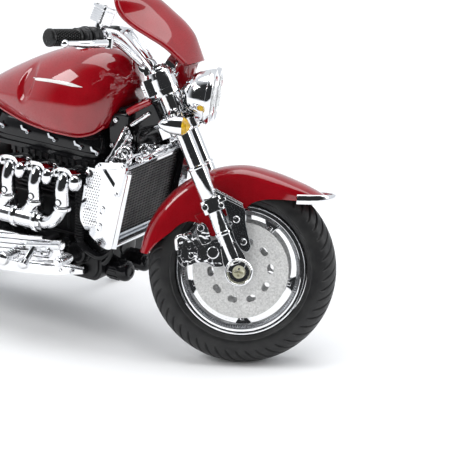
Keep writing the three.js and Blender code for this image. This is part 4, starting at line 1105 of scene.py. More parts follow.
def add_tank():
    turns = [-24 + 228 * k / 90 for k in range(91)]
    back, nose_x = TANK[0][0], TANK[-1][0]
    stations = [back + (nose_x - back) * k / 110 for k in range(111)]
    rings = [[tank_point(x, t) for t in turns] for x in stations]
    nose = rings[-1]
    middle = sum(nose, Vector()) / len(nose)
    rings += [[middle + (p - middle) * s + Vector((d, 0, 0)) for p in nose]
              for s, d in ((0.8, 0.6), (0.4, 1.0))]
    piece("fuel_tank_skin", skin(rings), "chassis", "red paint", "fuel_tank", smooth=60)
    for name, side in SIDES.items():
        edge = [tank_point(-26 + 60 * k / 60, 203.5) for k in range(61)]
        flange = swept(edge, [(-0.9, -0.3), (0.5, -0.45), (0.5, 0.35), (-0.9, 0.35)])
        piece(f"tank_flange_{name}", on_side(side, flange), "chassis", "red paint", bevel=0.12)
        rings = []
        for k in range(49):
            t = k / 48
            x = 3.5 + 24.0 * t
            wide = 0.2 + 1.5 * min(1, 6 * t, 6 * (1 - t))
            middle = 146 + 5 * t
            outer = [tank_point(x, middle + wide * q, 0.09) for q in (1, 0.5, 0, -0.5, -1)]
            inner = [tank_point(x, middle + wide * q, -0.3) for q in (-1, 0, 1)]
            rings.append(outer + inner)
        piece(f"tank_stripe_{name}", on_side(side, skin(rings)), "chassis", "stripe")
    cap = [(-1.6, 0), (-1.6, 4.3), (0.4, 4.3), (0.8, 4.0), (0.8, 3.5), (1.6, 3.4), (1.9, 3.0), (1.9, 1.2),
           (1.5, 1.1), (1.5, 0)]
    tip = Vector((17, 0, 105.2))
    cap_part = turned(cap, facing(tip, SKYWARD), 64)
    teeth = [slab(rectangle(3.3, 3.75, -0.16, 0.16), 0.9,
                  Matrix.Translation(tip + Vector((0, 0, 0.7))) @ spun(2 * pi * k / 30)) for k in range(30)]
    flap = soft_slab(rectangle(-1.9, 1.9, -0.5, 0.5), 0.4, 0.5,
                     Matrix.Translation(tip + Vector((0, 0, 1.8))))
    piece("filler_cap_lid", merge(cap_part, flap, *teeth), "chassis", "chrome", "filler_cap", bevel=0.08)


def add_head_cover():
    """The black casting between the tank and the steering head, and what hangs on it."""
    cover = [(56.4, 83.6), (52.0, 91.6), (47.6, 90.4), (43.4, 88.4), (36, 86), (33, 84), (32.6, 72),
             (33.2, 66.5), (43.6, 66.6), (46.4, 71.6), (44.6, 76.2), (47.4, 80.2), (52.4, 81.6)]
    core = soft_slab(cover, 2.2, 13.0, side_on(6.5), steps=6)
    cheek = [(42.8, 85.6), (36.5, 85), (33.6, 82), (33.4, 73), (34.6, 68), (41, 68.4), (42.6, 72),
             (41.2, 77), (42.6, 82)]
    cheeks = soft_slab(cheek, 2.4, 18.4, side_on(9.2), steps=6)
    head = fork_turned([(57.4, 0), (57.4, 5.6), (58.2, 6.2), (60.6, 6.2), (61.2, 5.2), (66.2, 5.2),
                        (66.8, 6.0), (68.6, 6.0), (69.2, 5.6), (69.2, 0)], 0, 0, 64)
    piece("head_cover", merge(core, cheeks), "chassis", "gloss black", bevel=2.0)
    piece("head_bearing_rings", head, "chassis", "painted-shade chrome", bevel=0.15)
    for name, side in SIDES.items():
        bar = tube([(42.2, -8.2, 86.0), (46.4, -7.6, 88.6), (50.6, -6.2, 91.0)], 1.25, 20)
        piece(f"head_bar_{name}", on_side(side, bar), "chassis", "red paint", bevel=0.25)
        strut = tube([(43.8, -8.6, 81.6), (47.2, -7.4, 84.2), (50.4, -6.4, 86.6)], 0.85, 18)
        clip = soft_slab([(39.8, 68.4), (46.0, 69.8), (48.4, 71.2), (46.8, 73.2), (43.6, 75.6),
                          (40.4, 72.6)], 1.4, 4.4, side_on(-8.6))
        wing = soft_slab([(39.4, 67.4), (46.4, 69.0), (47.6, 71.4), (41.6, 71.2)], 0.9, 3.4, side_on(-12.6))
        lamp = turned([(0, 0), (0, 2.3), (0.7, 2.7), (1.6, 2.7), (2.2, 2.2), (2.2, 1.4), (1.6, 1.1),
                       (1.6, 0)], facing((44.4, -12.6, 72.2), (0.3, -0.9, 0.2)), 36)
        elbow = tube([(38.6, -15.4, 68.2), (40.6, -14.2, 71.6), (42.0, -12.2, 76.0), (42.2, -9.2, 79.4)],
                     1.7, 22)
        studs = [bolt((x, -9.2, z), RIGHT, r, 0.8)
                 for x, z, r in ((37.4, 82.4, 1.0), (35.6, 72.6, 1.0), (42.2, 80.2, 0.8))]
        piece(f"head_fittings_{name}", on_side(side, strut, lamp, clip, wing, elbow, *studs), "chassis",
              "wavy chrome", bevel=0.3)
    tie = [soft_slab([(44.6, 66.2), (52.0, 68.6), (52.6, 70.4), (46.4, 71.0)], 0.6, 9.0, side_on(4.5)),
           tube([(47.6, -9.0, 70.0), (50.2, 0, 71.8), (47.6, 9.0, 70.0)], 1.0, 16)]
    piece("radiator_top_tie", merge(*tie), "chassis", "chrome", bevel=0.2)
    horn = turned([(0, 0), (0, 2.9), (0.5, 3.2), (1.0, 3.2), (1.3, 2.6), (1.1, 1.9), (1.7, 1.5), (1.9, 0)],
                  facing((47.0, -5.2, 71.0), (0.6, -0.75, 0.28)), 40)
    piece("horn_disc", horn, "chassis", "wavy chrome")
    caps = [turned([(-1.5, 0), (-1.5, r), (0, r), (0.3, r - 0.3), (0.3, r - 0.6), (0.9, r - 0.7),
                    (1.3, 0.3), (1.3, 0)], facing((x, y, z), (0.3, -0.6, 0.75)), 32)
            for x, y, z, r in ((44.2, -11.0, 73.6, 1.9), (41.4, -14.0, 71.4, 1.7), (45.4, -13.4, 70.2, 1.6),
                               (48.2, -10.2, 70.4, 1.5), (48.4, -7.2, 72.0, 1.5), (47.4, -1.8, 72.6, 1.7),
                               (43.2, -9.4, 77.2, 1.5))]
    piece("radiator_top_caps", merge(*caps), "chassis", "chrome")


# ---- radiator and its shroud ---------------------------------------------------------------------
RADIATOR_LEAN = radians(14.4)
RADIATOR = Matrix.Translation((38.6, 0, 53)) @ spun(RADIATOR_LEAN, "Y")
CORE_HALF = 16.8
CORE_LOW, CORE_HIGH = -13.4, 15.2


def mesh_wire(start, end):
    section = rectangle(-0.17, 0.17, -0.14, 0.14)
    return moved(swept([Vector(start), Vector(end)], section, soft_ends=False), RADIATOR)


def add_radiator():
    core = moved(box(-3.0, 3.0, -17.0, 17.0, -13.6, 15.4), RADIATOR)
    tanks = [moved(box(-3.3, 3.6, y0, y1, -13.6, 15.5), RADIATOR)
             for y0, y1 in ((-17.2, -16.0), (16.0, 17.2))]
    piece("radiator_block", merge(core, *tanks), "chassis", "black", "radiator_core", bevel=0.3)
    heights = [CORE_LOW + 0.6 + 1.18 * k for k in range(24)]
    widths = [-CORE_HALF + 0.8 + 1.7 * k for k in range(19)]
    wires = [mesh_wire((3.25, -CORE_HALF, z), (3.25, CORE_HALF, z)) for z in heights]
    wires += [mesh_wire((3.1, y, CORE_LOW), (3.1, y, CORE_HIGH)) for y in widths]
    piece("radiator_mesh", merge(*wires), "chassis", "weave")
    rails = [moved(tube([(3.2, -17.4, z), (3.2, 17.4, z)], r, 18, 4), RADIATOR)
             for z, r in ((15.3, 0.9), (-13.3, 0.75))]
    teeth = [moved(box(-1.2, 3.4, y, y + 0.5, 15.0, 16.5), RADIATOR)
             for y in [-16.6 + 1.0 * k for k in range(34)]]
    piece("radiator_rails", merge(*rails, *teeth), "chassis", "painted-shade chrome", bevel=0.05)


def add_shroud():
    """The plated cheek beside the radiator: perforated at the back, folded round at the front."""
    edge = [(31.4, 66.4), (35.6, 66.6), (49.4, 68.6), (50.2, 66.4), (42.6, 37.4), (40.6, 36.8),
            (37.6, 37.4), (30.6, 42.4), (28.4, 45.6), (28.4, 49), (30.2, 57)]
    dots = []
    for row in range(20):
        z = 45.0 + 1.06 * row
        start = 30.0 + max(0.0, (z - 49.0) * 0.16)
        for k in range(6):
            x = start + 1.06 * (k + 0.5 * (row % 2))
            dots.append([(x + 0.26 * cos(a), z + 0.26 * sin(a)) for a in (pi / 3 * j for j in range(6))])
    for name, side in SIDES.items():
        plate = soft_slab(edge, 1.0, 1.2, side_on(-18.4), dots)
        back = slab([(32, 65), (48, 66.5), (41.4, 39), (38, 39), (30.4, 44.4), (29.8, 50)], 0.8,
                    side_on(-17.2))
        fold = swept([(49.6, -17.9, 67.2), (46.0, -18.0, 52.4), (42.2, -17.9, 37.6)],
                     [(-0.9, -1.3), (0.9, -1.3), (1.3, 0), (0.9, 1.3), (-0.9, 1.3)])
        piece(f"shroud_{name}_plate", on_side(side, plate, fold), "chassis", "chrome",
              "radiator_shroud" if side < 0 else (), bevel=0.12)
        piece(f"shroud_{name}_backing", on_side(side, back), "chassis", "gloss black")
        marks = []
        for x, z in ((38.6, 51.3), (37.1, 44.6)):
            ring = stadium(x, z, 1.1, 1.7, radians(-15), 24)
            hole = stadium(x, z, 0.75, 1.35, radians(-15), 24)
            marks.append(slab(ring, 0.4, side_on(-19.5), [hole]))
            marks.append(slab(stadium(x, z, 0.35, 0.9, radians(-15), 24), 0.3, side_on(-19.5)))
        bracket = [(36.2, 67.6), (38.4, 69.6), (49.4, 71.6), (50.4, 69.4), (46.4, 57.6), (44.8, 57.4)]
        inner = [(39.6, 67.4), (46.6, 68.6), (47.0, 67.4), (44.8, 61.4)]
        marks.append(soft_slab(bracket, 0.9, 1.3, side_on(-19.2), [rounded(inner, 0.6)]))
        piece(f"shroud_{name}_trim", on_side(side, *marks), "chassis", "chrome", bevel=0.12)
        bolts = [bolt((x, -20.4, z), RIGHT, 0.8, 0.5)
                 for x, z in ((38.4, 68.4), (49.0, 70.0), (45.7, 59.0))]
        piece(f"shroud_{name}_bolts", on_side(side, *bolts), "chassis", "chrome")
    low = soft_slab([(36.4, 37.0), (42.8, 37.2), (43.2, 38.6), (36.6, 38.6)], 0.5, 35.6, side_on(17.8))
    piece("shroud_lower_bar", low, "chassis", "chrome", bevel=0.2)


# ---- engine --------------------------------------------------------------------------------------
CYLINDERS = (24.0, 11.4, -1.2)


def add_crankcase():
    outline = [(30.5, 20.5), (33, 24), (33, 34), (29.5, 38), (29, 50), (-24, 50), (-27, 46), (-27, 26),
               (-22, 20.5)]
    parts = [soft_slab(outline, 2.0, 27.0, side_on(13.5))]
    parts += [soft_slab([(29.4, 21.4), (31.8, 24.6), (31.8, 33), (-25.8, 33), (-25.8, 27), (-21.4, 21.4)],
                        1.6, 28.4, side_on(14.2))]
    sump = [box(-18 + 5.2 * k, -15.2 + 5.2 * k, -10.5, 10.5, 19.9, 21.0) for k in range(9)]
    ribs = [box(x, x + 1.1, -14.1, 14.1, 38.6, 49.6) for x in (-23, -16.6, -7.4, 5.4, 17.8, 27.4)]
    ribs += [box(-26, 29, -14.3, 14.3, z, z + 0.9) for z in (36.4, 49.0)]
    piece("crankcase_casting", merge(*parts, *sump, *ribs), "chassis", "black", "crankcase", bevel=0.4)
    for name, y, way, x, z, r in (("clutch", -13.6, RIGHT, -10, 33, 9.4),
                                  ("stator", 13.6, LEFT, 12, 37, 10.2)):
        place = facing((x, y, z), way)
        cover = turned([(0, 0), (0, r + 0.8), (0.9, r + 0.8), (1.2, r), (2.9, r - 0.4), (3.8, r - 1.6),
                        (4.2, r - 3.4), (4.2, r - 4.0), (3.8, r - 4.3), (3.8, 2.4), (4.3, 2.2), (4.3, 0)],
                       place, 72)
        screws = []
        for k in range(6):
            spot = place @ Vector(((r + 0.1) * cos(pi / 3 * k + 0.3), (r + 0.1) * sin(pi / 3 * k + 0.3),
                                   1.6))
            screws.append(bolt(spot, way, 0.85, 0.9))
        piece(f"{name}_cover", cover, "chassis", "gloss black", bevel=0.2)
        piece(f"{name}_cover_bolts", merge(*screws), "chassis", "chrome")
    front = turned([(0, 0), (0, 8.6), (1.4, 8.6), (2.0, 8.0), (2.6, 6.2), (2.8, 2.6), (3.4, 2.4), (3.4, 0)],
                   facing((32, -2, 31.4), FORWARD), 56)
    knobs = [turned([(0, 1.9), (2.4, 1.7), (2.9, 1.2), (2.9, 0)], facing((x, -13.9, z), RIGHT), 28)
             for x, z in ((28.6, 31.6), (25.6, 24.6), (19.4, 34.6), (6.4, 24.8))]
    pump = [turned([(0, 0), (0, 4.6), (0.8, 4.6), (1.2, 4.0), (3.2, 3.8), (3.8, 3.2), (3.8, 1.8),
                    (4.6, 1.6), (4.6, 0)], facing((24.6, -14.2, 31.6), RIGHT), 44),
            turned([(0, 0), (0, 3.2), (2.4, 3.0), (3.0, 2.2), (3.0, 0)], facing((31.0, -12.4, 38.6), RIGHT),
                   36), tube([(24.8, -15.6, 37.2), (28.0, -17.0, 34.4), (33.4, -15.4, 31.6),
                              (36.4, -12.0, 34.0)], 1.5, 20),
            tube([(30.6, -12.0, 26.6), (35.4, -12.6, 30.0), (37.4, -12.2, 36.4)], 1.2, 18)]
    pump += [bolt((24.6 + 3.9 * cos(a), -15.4, 31.6 + 3.9 * sin(a)), RIGHT, 0.6, 0.6)
             for a in (pi / 2.5 * k for k in range(5))]
    piece("crankcase_front_cover", merge(front, *knobs, *pump), "chassis", "gloss black", bevel=0.15)
    cans = []
    for y, r, start in ((-7.4, 3.9, 31.0), (4.6, 3.7, 30.4)):
        rim = [(0, 0), (0, r - 0.6), (1.4, r - 0.6), (1.8, r), (8.8, r), (9.6, r - 0.25), (10.4, r - 1.0),
               (10.8, r - 1.9), (10.8, r - 2.5), (10.4, r - 2.7), (10.4, 0)]
        place = facing((start, y, 24.8), FORWARD)
        cans.append(turned(rim, place, 56))
        for k in range(12):
            spot = place @ spun(2 * pi * k / 12)
            cans.append(slab(rectangle(r - 0.3, r + 0.25, -0.35, 0.35), 4.4, spot @ raised(2.4)))
    piece("oil_filter_cans", merge(*cans), "chassis", "gloss black", "oil_filter", bevel=0.1)


def add_cylinders():
    fin = rectangle(-8, 31, -12.5, 12.5)
    fins = [soft_slab(fin, 2.5, 0.75, raised(50.6 + 1.55 * k)) for k in range(9)]
    barrels = [soft_slab(rectangle(x - 5.6, x + 5.6, -11.2, 11.2), 2.4, 16.2, raised(50))
               for x in CYLINDERS]
    head = soft_slab(rectangle(-9.4, 31.6, -13.2, 13.2), 1.6, 3.0, raised(63.6))
    piece("cylinder_fins", merge(*fins, *barrels, head), "chassis", "black", "cylinder_block", bevel=0.15)
    studs = []
    for side in SIDES.values():
        way = LEFT * side
        for k in range(13):
            x = -7.6 + 3.1 * k
            studs.append(box(x, x + 1.2, min(13 * side, 13.7 * side), max(13 * side, 13.7 * side), 60.4,
                             66.2))
        for x in CYLINDERS:
            place = facing((x, 12.2 * side, 60.2), way)
            studs.append(turned([(0, 0), (0, 3.9), (1.6, 3.9), (2.0, 3.5), (2.0, 0)], place, 36))
    piece("cylinder_head_ribs", merge(*studs), "chassis", "black", bevel=0.12)


def add_cam_cover():
    """A long black lid with a rounded crown, a flange and a clip at each bolt, and the hoses beside it."""
    rings = []
    for x, grow, top in ((-17.0, 0.80, 74.6), (-16.0, 0.90, 77.2), (-14.0, 0.97, 78.4), (-10, 1.0, 78.8),
                         (26, 1.0, 78.8), (29.4, 0.98, 78.2), (31.6, 0.92, 76.6), (33.0, 0.82, 73.6),
                         (33.6, 0.7, 71.0)):
        ring = []
        for k in range(33):
            a = pi * k / 32
            y = 14.2 * grow * (abs(cos(a)) ** 0.5) * (1 if cos(a) > 0 else -1)
            ring.append(Vector((x, y, 67.4 + (top - 67.4) * sin(a) ** 0.6)))
        rings.append(ring)
    flange = soft_slab([(-17.6, -14.9), (33.4, -14.9), (34.2, 0), (33.4, 14.9), (-17.6, 14.9)], 2.6, 1.5,
                       raised(66.2))
    bead = soft_slab([(-17.2, -14.5), (33.2, -14.5), (34.0, 0), (33.2, 14.5), (-17.2, 14.5)], 2.6, 0.6,
                     raised(69.0))
    piece("cam_cover_lid", merge(skin(rings), flange, bead), "chassis", "gloss black", "cam_cover",
          smooth=44)
    for name, side in SIDES.items():
        clips = []
        for x, z in ((-12.4, 73.4), (-1.0, 73.3), (11.7, 72.6), (23.8, 72.0), (31.4, 71.2)):
            clips.append(bolt((x + 1.5, -14.4, z - 0.9), RIGHT, 0.75, 0.7))
            hook = [(x - 1.9, z + 1.0), (x - 1.2, z + 1.3), (x - 0.7, z + 0.3), (x + 1.2, z - 0.1),
                    (x + 1.4, z - 0.8), (x - 1.4, z - 0.5)]
            clips.append(slab(hook, 0.5, side_on(-14.2)))
        piece(f"cam_cover_bolts_{name}", on_side(side, *clips), "chassis", "painted-shade chrome")
        hose_line = smooth_line([(26.6, -14.6, 63.4), (26.2, -16.6, 56), (26.4, -16.8, 46),
                                 (25.2, -16.0, 37.4)], 24)
        rings = [1.0 if k % 3 else 1.22 for k in range(len(hose_line))]
        piece(f"coolant_hose_{name}", on_side(side, swept(hose_line, ellipse(1.7, sides=20), rings)),
              "chassis", "black")


# ---- exhaust -------------------------------------------------------------------------------------
PIPE_Y = -24                    # the plane in which the header pipes come down
PIPE_Z = 43.6                   # the height of the pipe that collects them
SILENCER_Y, SILENCER_Z = -29.2, 35


def header_line(x, front):
    """The middle line of a header pipe: the front one bends into the collector, the others end in it."""
    start = [(x, -14.4, 60), (x, -18.6, 62.0), (x, -22.4, 61.0), (x, PIPE_Y, 57.4), (x, PIPE_Y, 53)]
    if front:
        return start + [(x - 0.6, PIPE_Y, 49.6), (x - 3.2, PIPE_Y, 46), (x - 6.4, PIPE_Y, 44.0),
                        (x - 9.7, PIPE_Y, PIPE_Z)]
    return start + [(x - 0.6, PIPE_Y, 50.6), (x - 2.0, PIPE_Y, 48), (x - 4.0, PIPE_Y, 45.8)]


def add_exhaust():
    for name, x in zip(("front", "middle", "rear"), CYLINDERS):
        line = header_line(x, name == "front")
        pipe = tube(line, 2.6, 40, 8)
        collar = turned(symmetric([(0.6, 3.3), (0.9, 3.1), (0.9, 2.5)]), facing((x, PIPE_Y, 50.6), SKYWARD),
                        40)
        flange = soft_slab(rectangle(x - 4.4, x + 4.4, 58.4, 63.0), 2.0, 1.4, side_on(-14.0))
        piece(f"header_{name}_pipe", merge(pipe, collar, flange), "chassis", "chrome",
              f"header_pipe_{name}", bevel=0.15)
        saddle = swept(smooth_line([(x - 4.0, -20.6, 63.2), (x - 1.5, -21.0, 64.6), (x + 2.4, -21.4, 64.6),
                                    (x + 5.0, -22.4, 63.4)], 6), rectangle(-2.0, 2.0, -0.7, 0.7))
        knob = [(-3.4, 0), (-3.2, 0.9), (-2.3, 1.8), (-0.8, 2.4), (0.9, 2.4), (2.2, 1.8), (2.9, 0.9),
                (3.1, 0)]
        drop = turned(knob, facing((x + 5.3, -23.2, 60.9), (0.18, 0, 1)), 36)
        plug = turned(symmetric([(0.6, 1.8), (1.6, 1.1), (1.9, 0)]),
                      facing((x - 4.2, -21.6, 62.6), (-0.1, -0.5, 1)), 32)
        curl = turned([(0, 1.5), (0, 1.0), (0.5, 0.9), (0.5, 1.5)], facing((x, -26.3, 53.2), RIGHT), 24)
        piece(f"header_{name}_fittings", merge(saddle, drop, plug, curl), "chassis", "chrome", bevel=0.1)
    line = [(15.4, PIPE_Y, PIPE_Z), (8, PIPE_Y, PIPE_Z), (-12, PIPE_Y, PIPE_Z), (-30, PIPE_Y, PIPE_Z),
            (-37, -25, 42.6), (-44, -28.4, 38), (-52, SILENCER_Y, SILENCER_Z),
            (-57, SILENCER_Y, SILENCER_Z)]
    collector = tube(line, 3.6, 44, 8)
    branch = tube([(-24, PIPE_Y, PIPE_Z), (-30, -22.5, 36), (-34, -19, 24), (-36, -9, 15.5)], 3.0, 36, 8)
    rings = [turned(symmetric([(0.9, 4.3), (1.2, 4.1), (1.2, 3.5)]), facing((x, PIPE_Y, PIPE_Z), FORWARD),
                    44) for x in (12.6, 2.6, -9.4, -20)]
    chamber = soft_slab(rectangle(-46, -24, 11.6, 19.6), 2.0, 19.0, side_on(9.5))
    left = tube([(-41, 8, 15.5), (-44, 20, 18), (-46, 28, 25), (-51, 29.2, 33), (-61, 29.2, 35)], 3.0, 36,
                8)
    piece("collector_pipe", merge(collector, branch, left, *rings), "chassis", "chrome",
          "exhaust_collector")
    piece("exhaust_chamber", chamber, "chassis", "painted-shade chrome", bevel=1.0)
    profile = [(0, 0), (0, 3.6), (1.0, 4.1), (5, 6.2), (6.4, 6.25), (6.8, 6.45), (8.2, 6.45), (8.6, 6.2),
               (56.2, 6.2), (56.6, 6.45), (58.6, 6.45), (59.0, 6.2), (61.6, 6.2), (63.4, 5.6), (64, 4.9),
               (64, 4.4), (63.2, 4.3), (40, 4.3), (40, 0)]
    for name, side in SIDES.items():
        start = Vector((-54 if side < 0 else -58, SILENCER_Y, SILENCER_Z))
        can = turned(profile, facing(start, BACKWARD), 72)
        piece(f"silencer_{name}_can", on_side(side, can), "chassis", "chrome", f"silencer_{name}",
              smooth=30)
        hanger = [swept([start + Vector((-34, 5.6, 3.2)), start + Vector((-36, 9.8, 18))],
                        rectangle(-1.6, 1.6, -0.6, 0.6)),
                  bolt(start + Vector((-34, 3.6, 5.4)), (0, -0.3, 1), 1.1, 0.9)]
        piece(f"silencer_{name}_hanger", on_side(side, *hanger), "chassis", "black", bevel=0.15)


# ---- foot controls -------------------------------------------------------------------------------
def add_foot_controls():
    cover = [(-29, 38.8), (-4.5, 37.4), (22.4, 38.4), (24.4, 37.4), (26.4, 31.9), (-3.2, 25.7), (-32, 25.2),
             (-33, 28)]
    plate = soft_slab(cover, 1.2, 1.4, side_on(-26.0))
    ribs = []
    for k in range(5):
        low = 28.0 + 1.9 * k
        ribs.append(swept([(-29, -27.6, low), (-4, -27.7, low + 0.2), (19.5 - k * 0.6, -27.6, low + 3.1)],
                          rectangle(-0.5, 0.5, -0.55, 0.55)))
    posts = [rod((x, -14, z), (x, -26.4, z), 1.6) for x, z in ((-18, 34), (14, 34.6))]
    piece("foot_cover_right", merge(plate, *ribs, *posts), "chassis", "chrome", bevel=0.2)
    rail_line = smooth_line([(-34, -27.4, 23.6), (-8, -27.6, 24.0), (14, -27.0, 26.0), (25, -25.8, 27.4),
                             (33, -24.4, 28.2)], 8)
    sizes = smooth_sizes((1, 1, 0.95, 0.8, 0.45), 8)
    rail = swept(rail_line, [(-1.1, -1.9), (0.5, -1.9), (1.2, -1.2), (1.2, 1.2), (0.5, 1.9), (-1.1, 1.9)],
                 sizes)
    lip = swept([p + Vector((0, 0.6, 2.8 * s)) for p, s in zip(rail_line, sizes)], ellipse(0.8, sides=14),
                sizes)
    ties = [rod((x, -14, z), (x, -27, z), 1.2) for x, z in ((-20, 24), (22, 26.6))]
    screws = [bolt((x, -26.4 + 0.2 * k, z), RIGHT, 0.8, 0.7)
              for k, (x, z) in enumerate(((24.6, 27.6), (29.4, 28.0)))]
    piece("lower_rail_right", merge(rail, lip, *ties, *screws), "chassis", "chrome", bevel=0.2)
    for name, side in SIDES.items():
        peg = turned([(0, 0), (0, 1.5), (1.0, 1.5), (1.2, 2.1), (2.6, 2.1), (3.0, 1.4), (13.0, 1.7),
                      (13.6, 2.3), (14.4, 2.6), (15.4, 2.6), (16.2, 2.2), (16.7, 1.3), (16.8, 0)],
                     facing((4, -19.2, 30), RIGHT), 36)
        grooves = [turned([(0, 1.5), (0, 2.05), (0.7, 2.05), (0.7, 1.5)],
                          facing((4, -23.4 - 1.4 * k, 30), RIGHT), 30) for k in range(6)]
        mount = soft_slab([(0.8, 27.4), (7.2, 27.4), (6.4, 33.4), (1.6, 33.4)], 1.2, 5.0, side_on(-14.4))
        piece(f"footrest_{name}_peg", on_side(side, peg, mount, *grooves), "chassis", "chrome",
              f"footrest_{name}", bevel=0.12)
        node = "brake_pedal" if side < 0 else "gear_lever"
        arm_line = smooth_line([(17.6, -15.0, 31), (18.4, -19, 31.2), (24, -22.6, 32), (27.4, -26, 33)], 6)
        arm = swept(arm_line, rectangle(-0.9, 0.9, -1.5, 1.5))
        pad = turned([(0, 0), (0, 1.3), (0.5, 1.7), (7.4, 1.7), (8.0, 1.3), (8.0, 0)],
                     facing((28, -25, 33), RIGHT), 30)
        teeth = [turned([(0, 1.6), (0, 2.0), (0.55, 2.0), (0.55, 1.6)],
                        facing((28, -26.2 - 1.15 * k, 33), RIGHT), 24) for k in range(6)]
        boss = turned([(0, 0), (0, 2.4), (1.6, 2.4), (2.0, 2.0), (2.0, 0)],
                      facing((17.8, -18.2, 31), RIGHT), 30)
        piece(f"{node}_arm", on_side(side, arm, pad, boss, *teeth), "chassis", "chrome", node, bevel=0.15)
    link = tube([(14.2, -27.6, 35.6), (14.0, -30.4, 33.4), (13.6, -33.0, 31.0)], 1.3, 20)
    ball = turned(symmetric([(0.8, 2.0), (1.8, 1.2), (2.2, 0)]),
                  facing((13.5, -34.0, 30.1), (0, -0.8, -0.6)), 36)
    heel = merge(rod((10.8, -28.6, 35.2), (24.6, -28.6, 37.8), 1.1),
                 turned(symmetric([(1.8, 1.9), (1.8, 0)]), facing((25.2, -28.6, 38), (1, 0, 0.2)), 12))
    piece("heel_lever_right", merge(link, ball, heel), "chassis", "chrome", bevel=0.1)


# ---- seats ---------------------------------------------------------------------------------------
# Stations of each cushion: x, then its half-width, its top and its underside.
RIDER_SEAT = [(-29.5, 7, 84.5, 80.2), (-36, 11, 82.5, 79.4), (-44, 15, 80, 75.5), (-54, 18, 78.6, 74.9),
              (-62, 19, 80.5, 74.9), (-68, 17, 86, 74.9), (-70.5, 14, 88, 76)]
PILLION_SEAT = [(-71.4, 11, 85, 75.2), (-78, 12, 86.4, 74.9), (-90, 12, 85.4, 74.9),
                (-100, 10.5, 83.4, 74.9), (-106, 7, 80.4, 75.2)]
PIPING = 0.62                   # the height of the side seam, as a share of the cushion's height


def cushion_point(table, x, degrees, lift=0.0):
    """A point of a cushion's section: its side wall swells, its crown is full and its seams sink."""
    half, top, low = blended(table, x)
    angle = radians(degrees)
    across, rise = cos(angle), sin(angle)
    y = half * (abs(across) ** 0.62) * (1 if across > 0 else -1)
    height = top - low
    z = low + height * (0.5 + 0.5 * (abs(rise) ** 0.7) * (1 if rise > 0 else -1))
    quilt = 0.0
    if rise > 0.35 and abs(y) < half * 0.72:
        spread = cos(pi * y / (half * 1.44))
        quilt = 0.45 * spread * abs(cos(pi * (x + 30) / 7.5)) ** 0.4
    seam = 0.5 * (1 - ramp(abs((z - low) / height - PIPING), 0.0, 0.07)) if abs(across) > 0.3 else 0
    valley = 0.55 * (1 - ramp(abs(abs(y) - half * 0.74), 0.0, 0.9)) if rise > 0.3 else 0
    out = Vector((0, across, rise)).normalized()
    return Vector((x, y, z)) + out * (quilt - seam - valley + lift)


def cushion(table):
    turns, count = 96, 90
    start, end = table[0][0], table[-1][0]
    rings = []
    for k in range(count + 1):
        t = k / count
        x = start + (end - start) * t
        ring = [cushion_point(table, x, 360 * j / turns) for j in range(turns)]
        middle = sum(ring, Vector()) / turns
        close = min(t, 1 - t) * abs(end - start)
        size = sqrt(max(0.0, 1 - (1 - min(close / 3.4, 1)) ** 2)) if close < 3.4 else 1
        rings.append([middle + (p - middle) * max(size, 0.12) for p in ring])
    return skin(rings)


def along_cushion(table, degrees, margin, lift, count=120):
    start, end = table[0][0], table[-1][0]
    way = 1 if end > start else -1
    return [cushion_point(table, start + way * margin + (end - start - 2 * way * margin) * k / count,
                          degrees, lift) for k in range(count + 1)]


STITCH_LENGTH = 0.9
STITCH_GAP = 0.6
THREAD_R = 0.13


def stitches(line):
    """Short threads along a line, each sinking into the leather at its ends."""
    parts = []
    walked, mark = 0.0, []
    for a, b in zip(line, line[1:]):
        mark.append((walked, a, b))
        walked += (b - a).length
    at = 0.4
    while at + STITCH_LENGTH < walked:
        spots = []
        for share in (0, 0.5, 1):
            place = at + STITCH_LENGTH * share
            begin, a, b = max((m for m in mark if m[0] <= place), key=lambda m: m[0])
            spots.append(a + (b - a).normalized() * (place - begin))
        parts.append(tube(spots, THREAD_R, 6, 1))
        at += STITCH_LENGTH + STITCH_GAP
    return merge(*parts)


def add_seats():
    for name, table, lean in (("rider_seat", RIDER_SEAT, 49), ("pillion_seat", PILLION_SEAT, 47)):
        cover = piece(f"{name}_cushion", cushion(table), "chassis", "leather", name, smooth=70)
        threads, cords = [], []
        for side in SIDES.values():
            turn = lean if side > 0 else 180 - lean
            threads.append(stitches(along_cushion(table, turn, 4.5, 0.12)))
            rim = 14 if side > 0 else 166
            cords.append(tube(along_cushion(table, rim, 3.6, 0.38, 40), 0.34, 10, 2))
        piece(f"{name}_stitching", merge(*threads), "chassis", "thread")
        piece(f"{name}_piping", merge(*cords), "chassis", "leather")
        rows = [(x, half - 1.6, low + 0.4, low - 1.0) for x, half, _, low in table]
        start, end = table[0][0], table[-1][0]
        rings = []
        for k in range(31):
            x = start - 1.5 + (end - start + 3.0) * k / 30
            half, high, low = blended(rows, x)
            rings.append([Vector((x, half, high)), Vector((x, -half, high)), Vector((x, -half + 0.6, low)),
                          Vector((x, half - 0.6, low))])
        piece(f"{name}_pan", skin(rings), "chassis", "gloss black", bevel=0.15)


# ---- tail ----------------------------------------------------------------------------------------
REAR_FENDER = [(52, 37.6, 33.6, 14.6), (66, 38.6, 31, 15.4), (80, 39.2, 29, 15.6), (95, 39.6, 28, 15.6),
               (110, 39.6, 28, 15.4), (125, 39.4, 28.5, 15.2), (140, 39, 30, 14.6), (152, 38.6, 32, 13.4),
               (160, 38.2, 33.6, 12)]


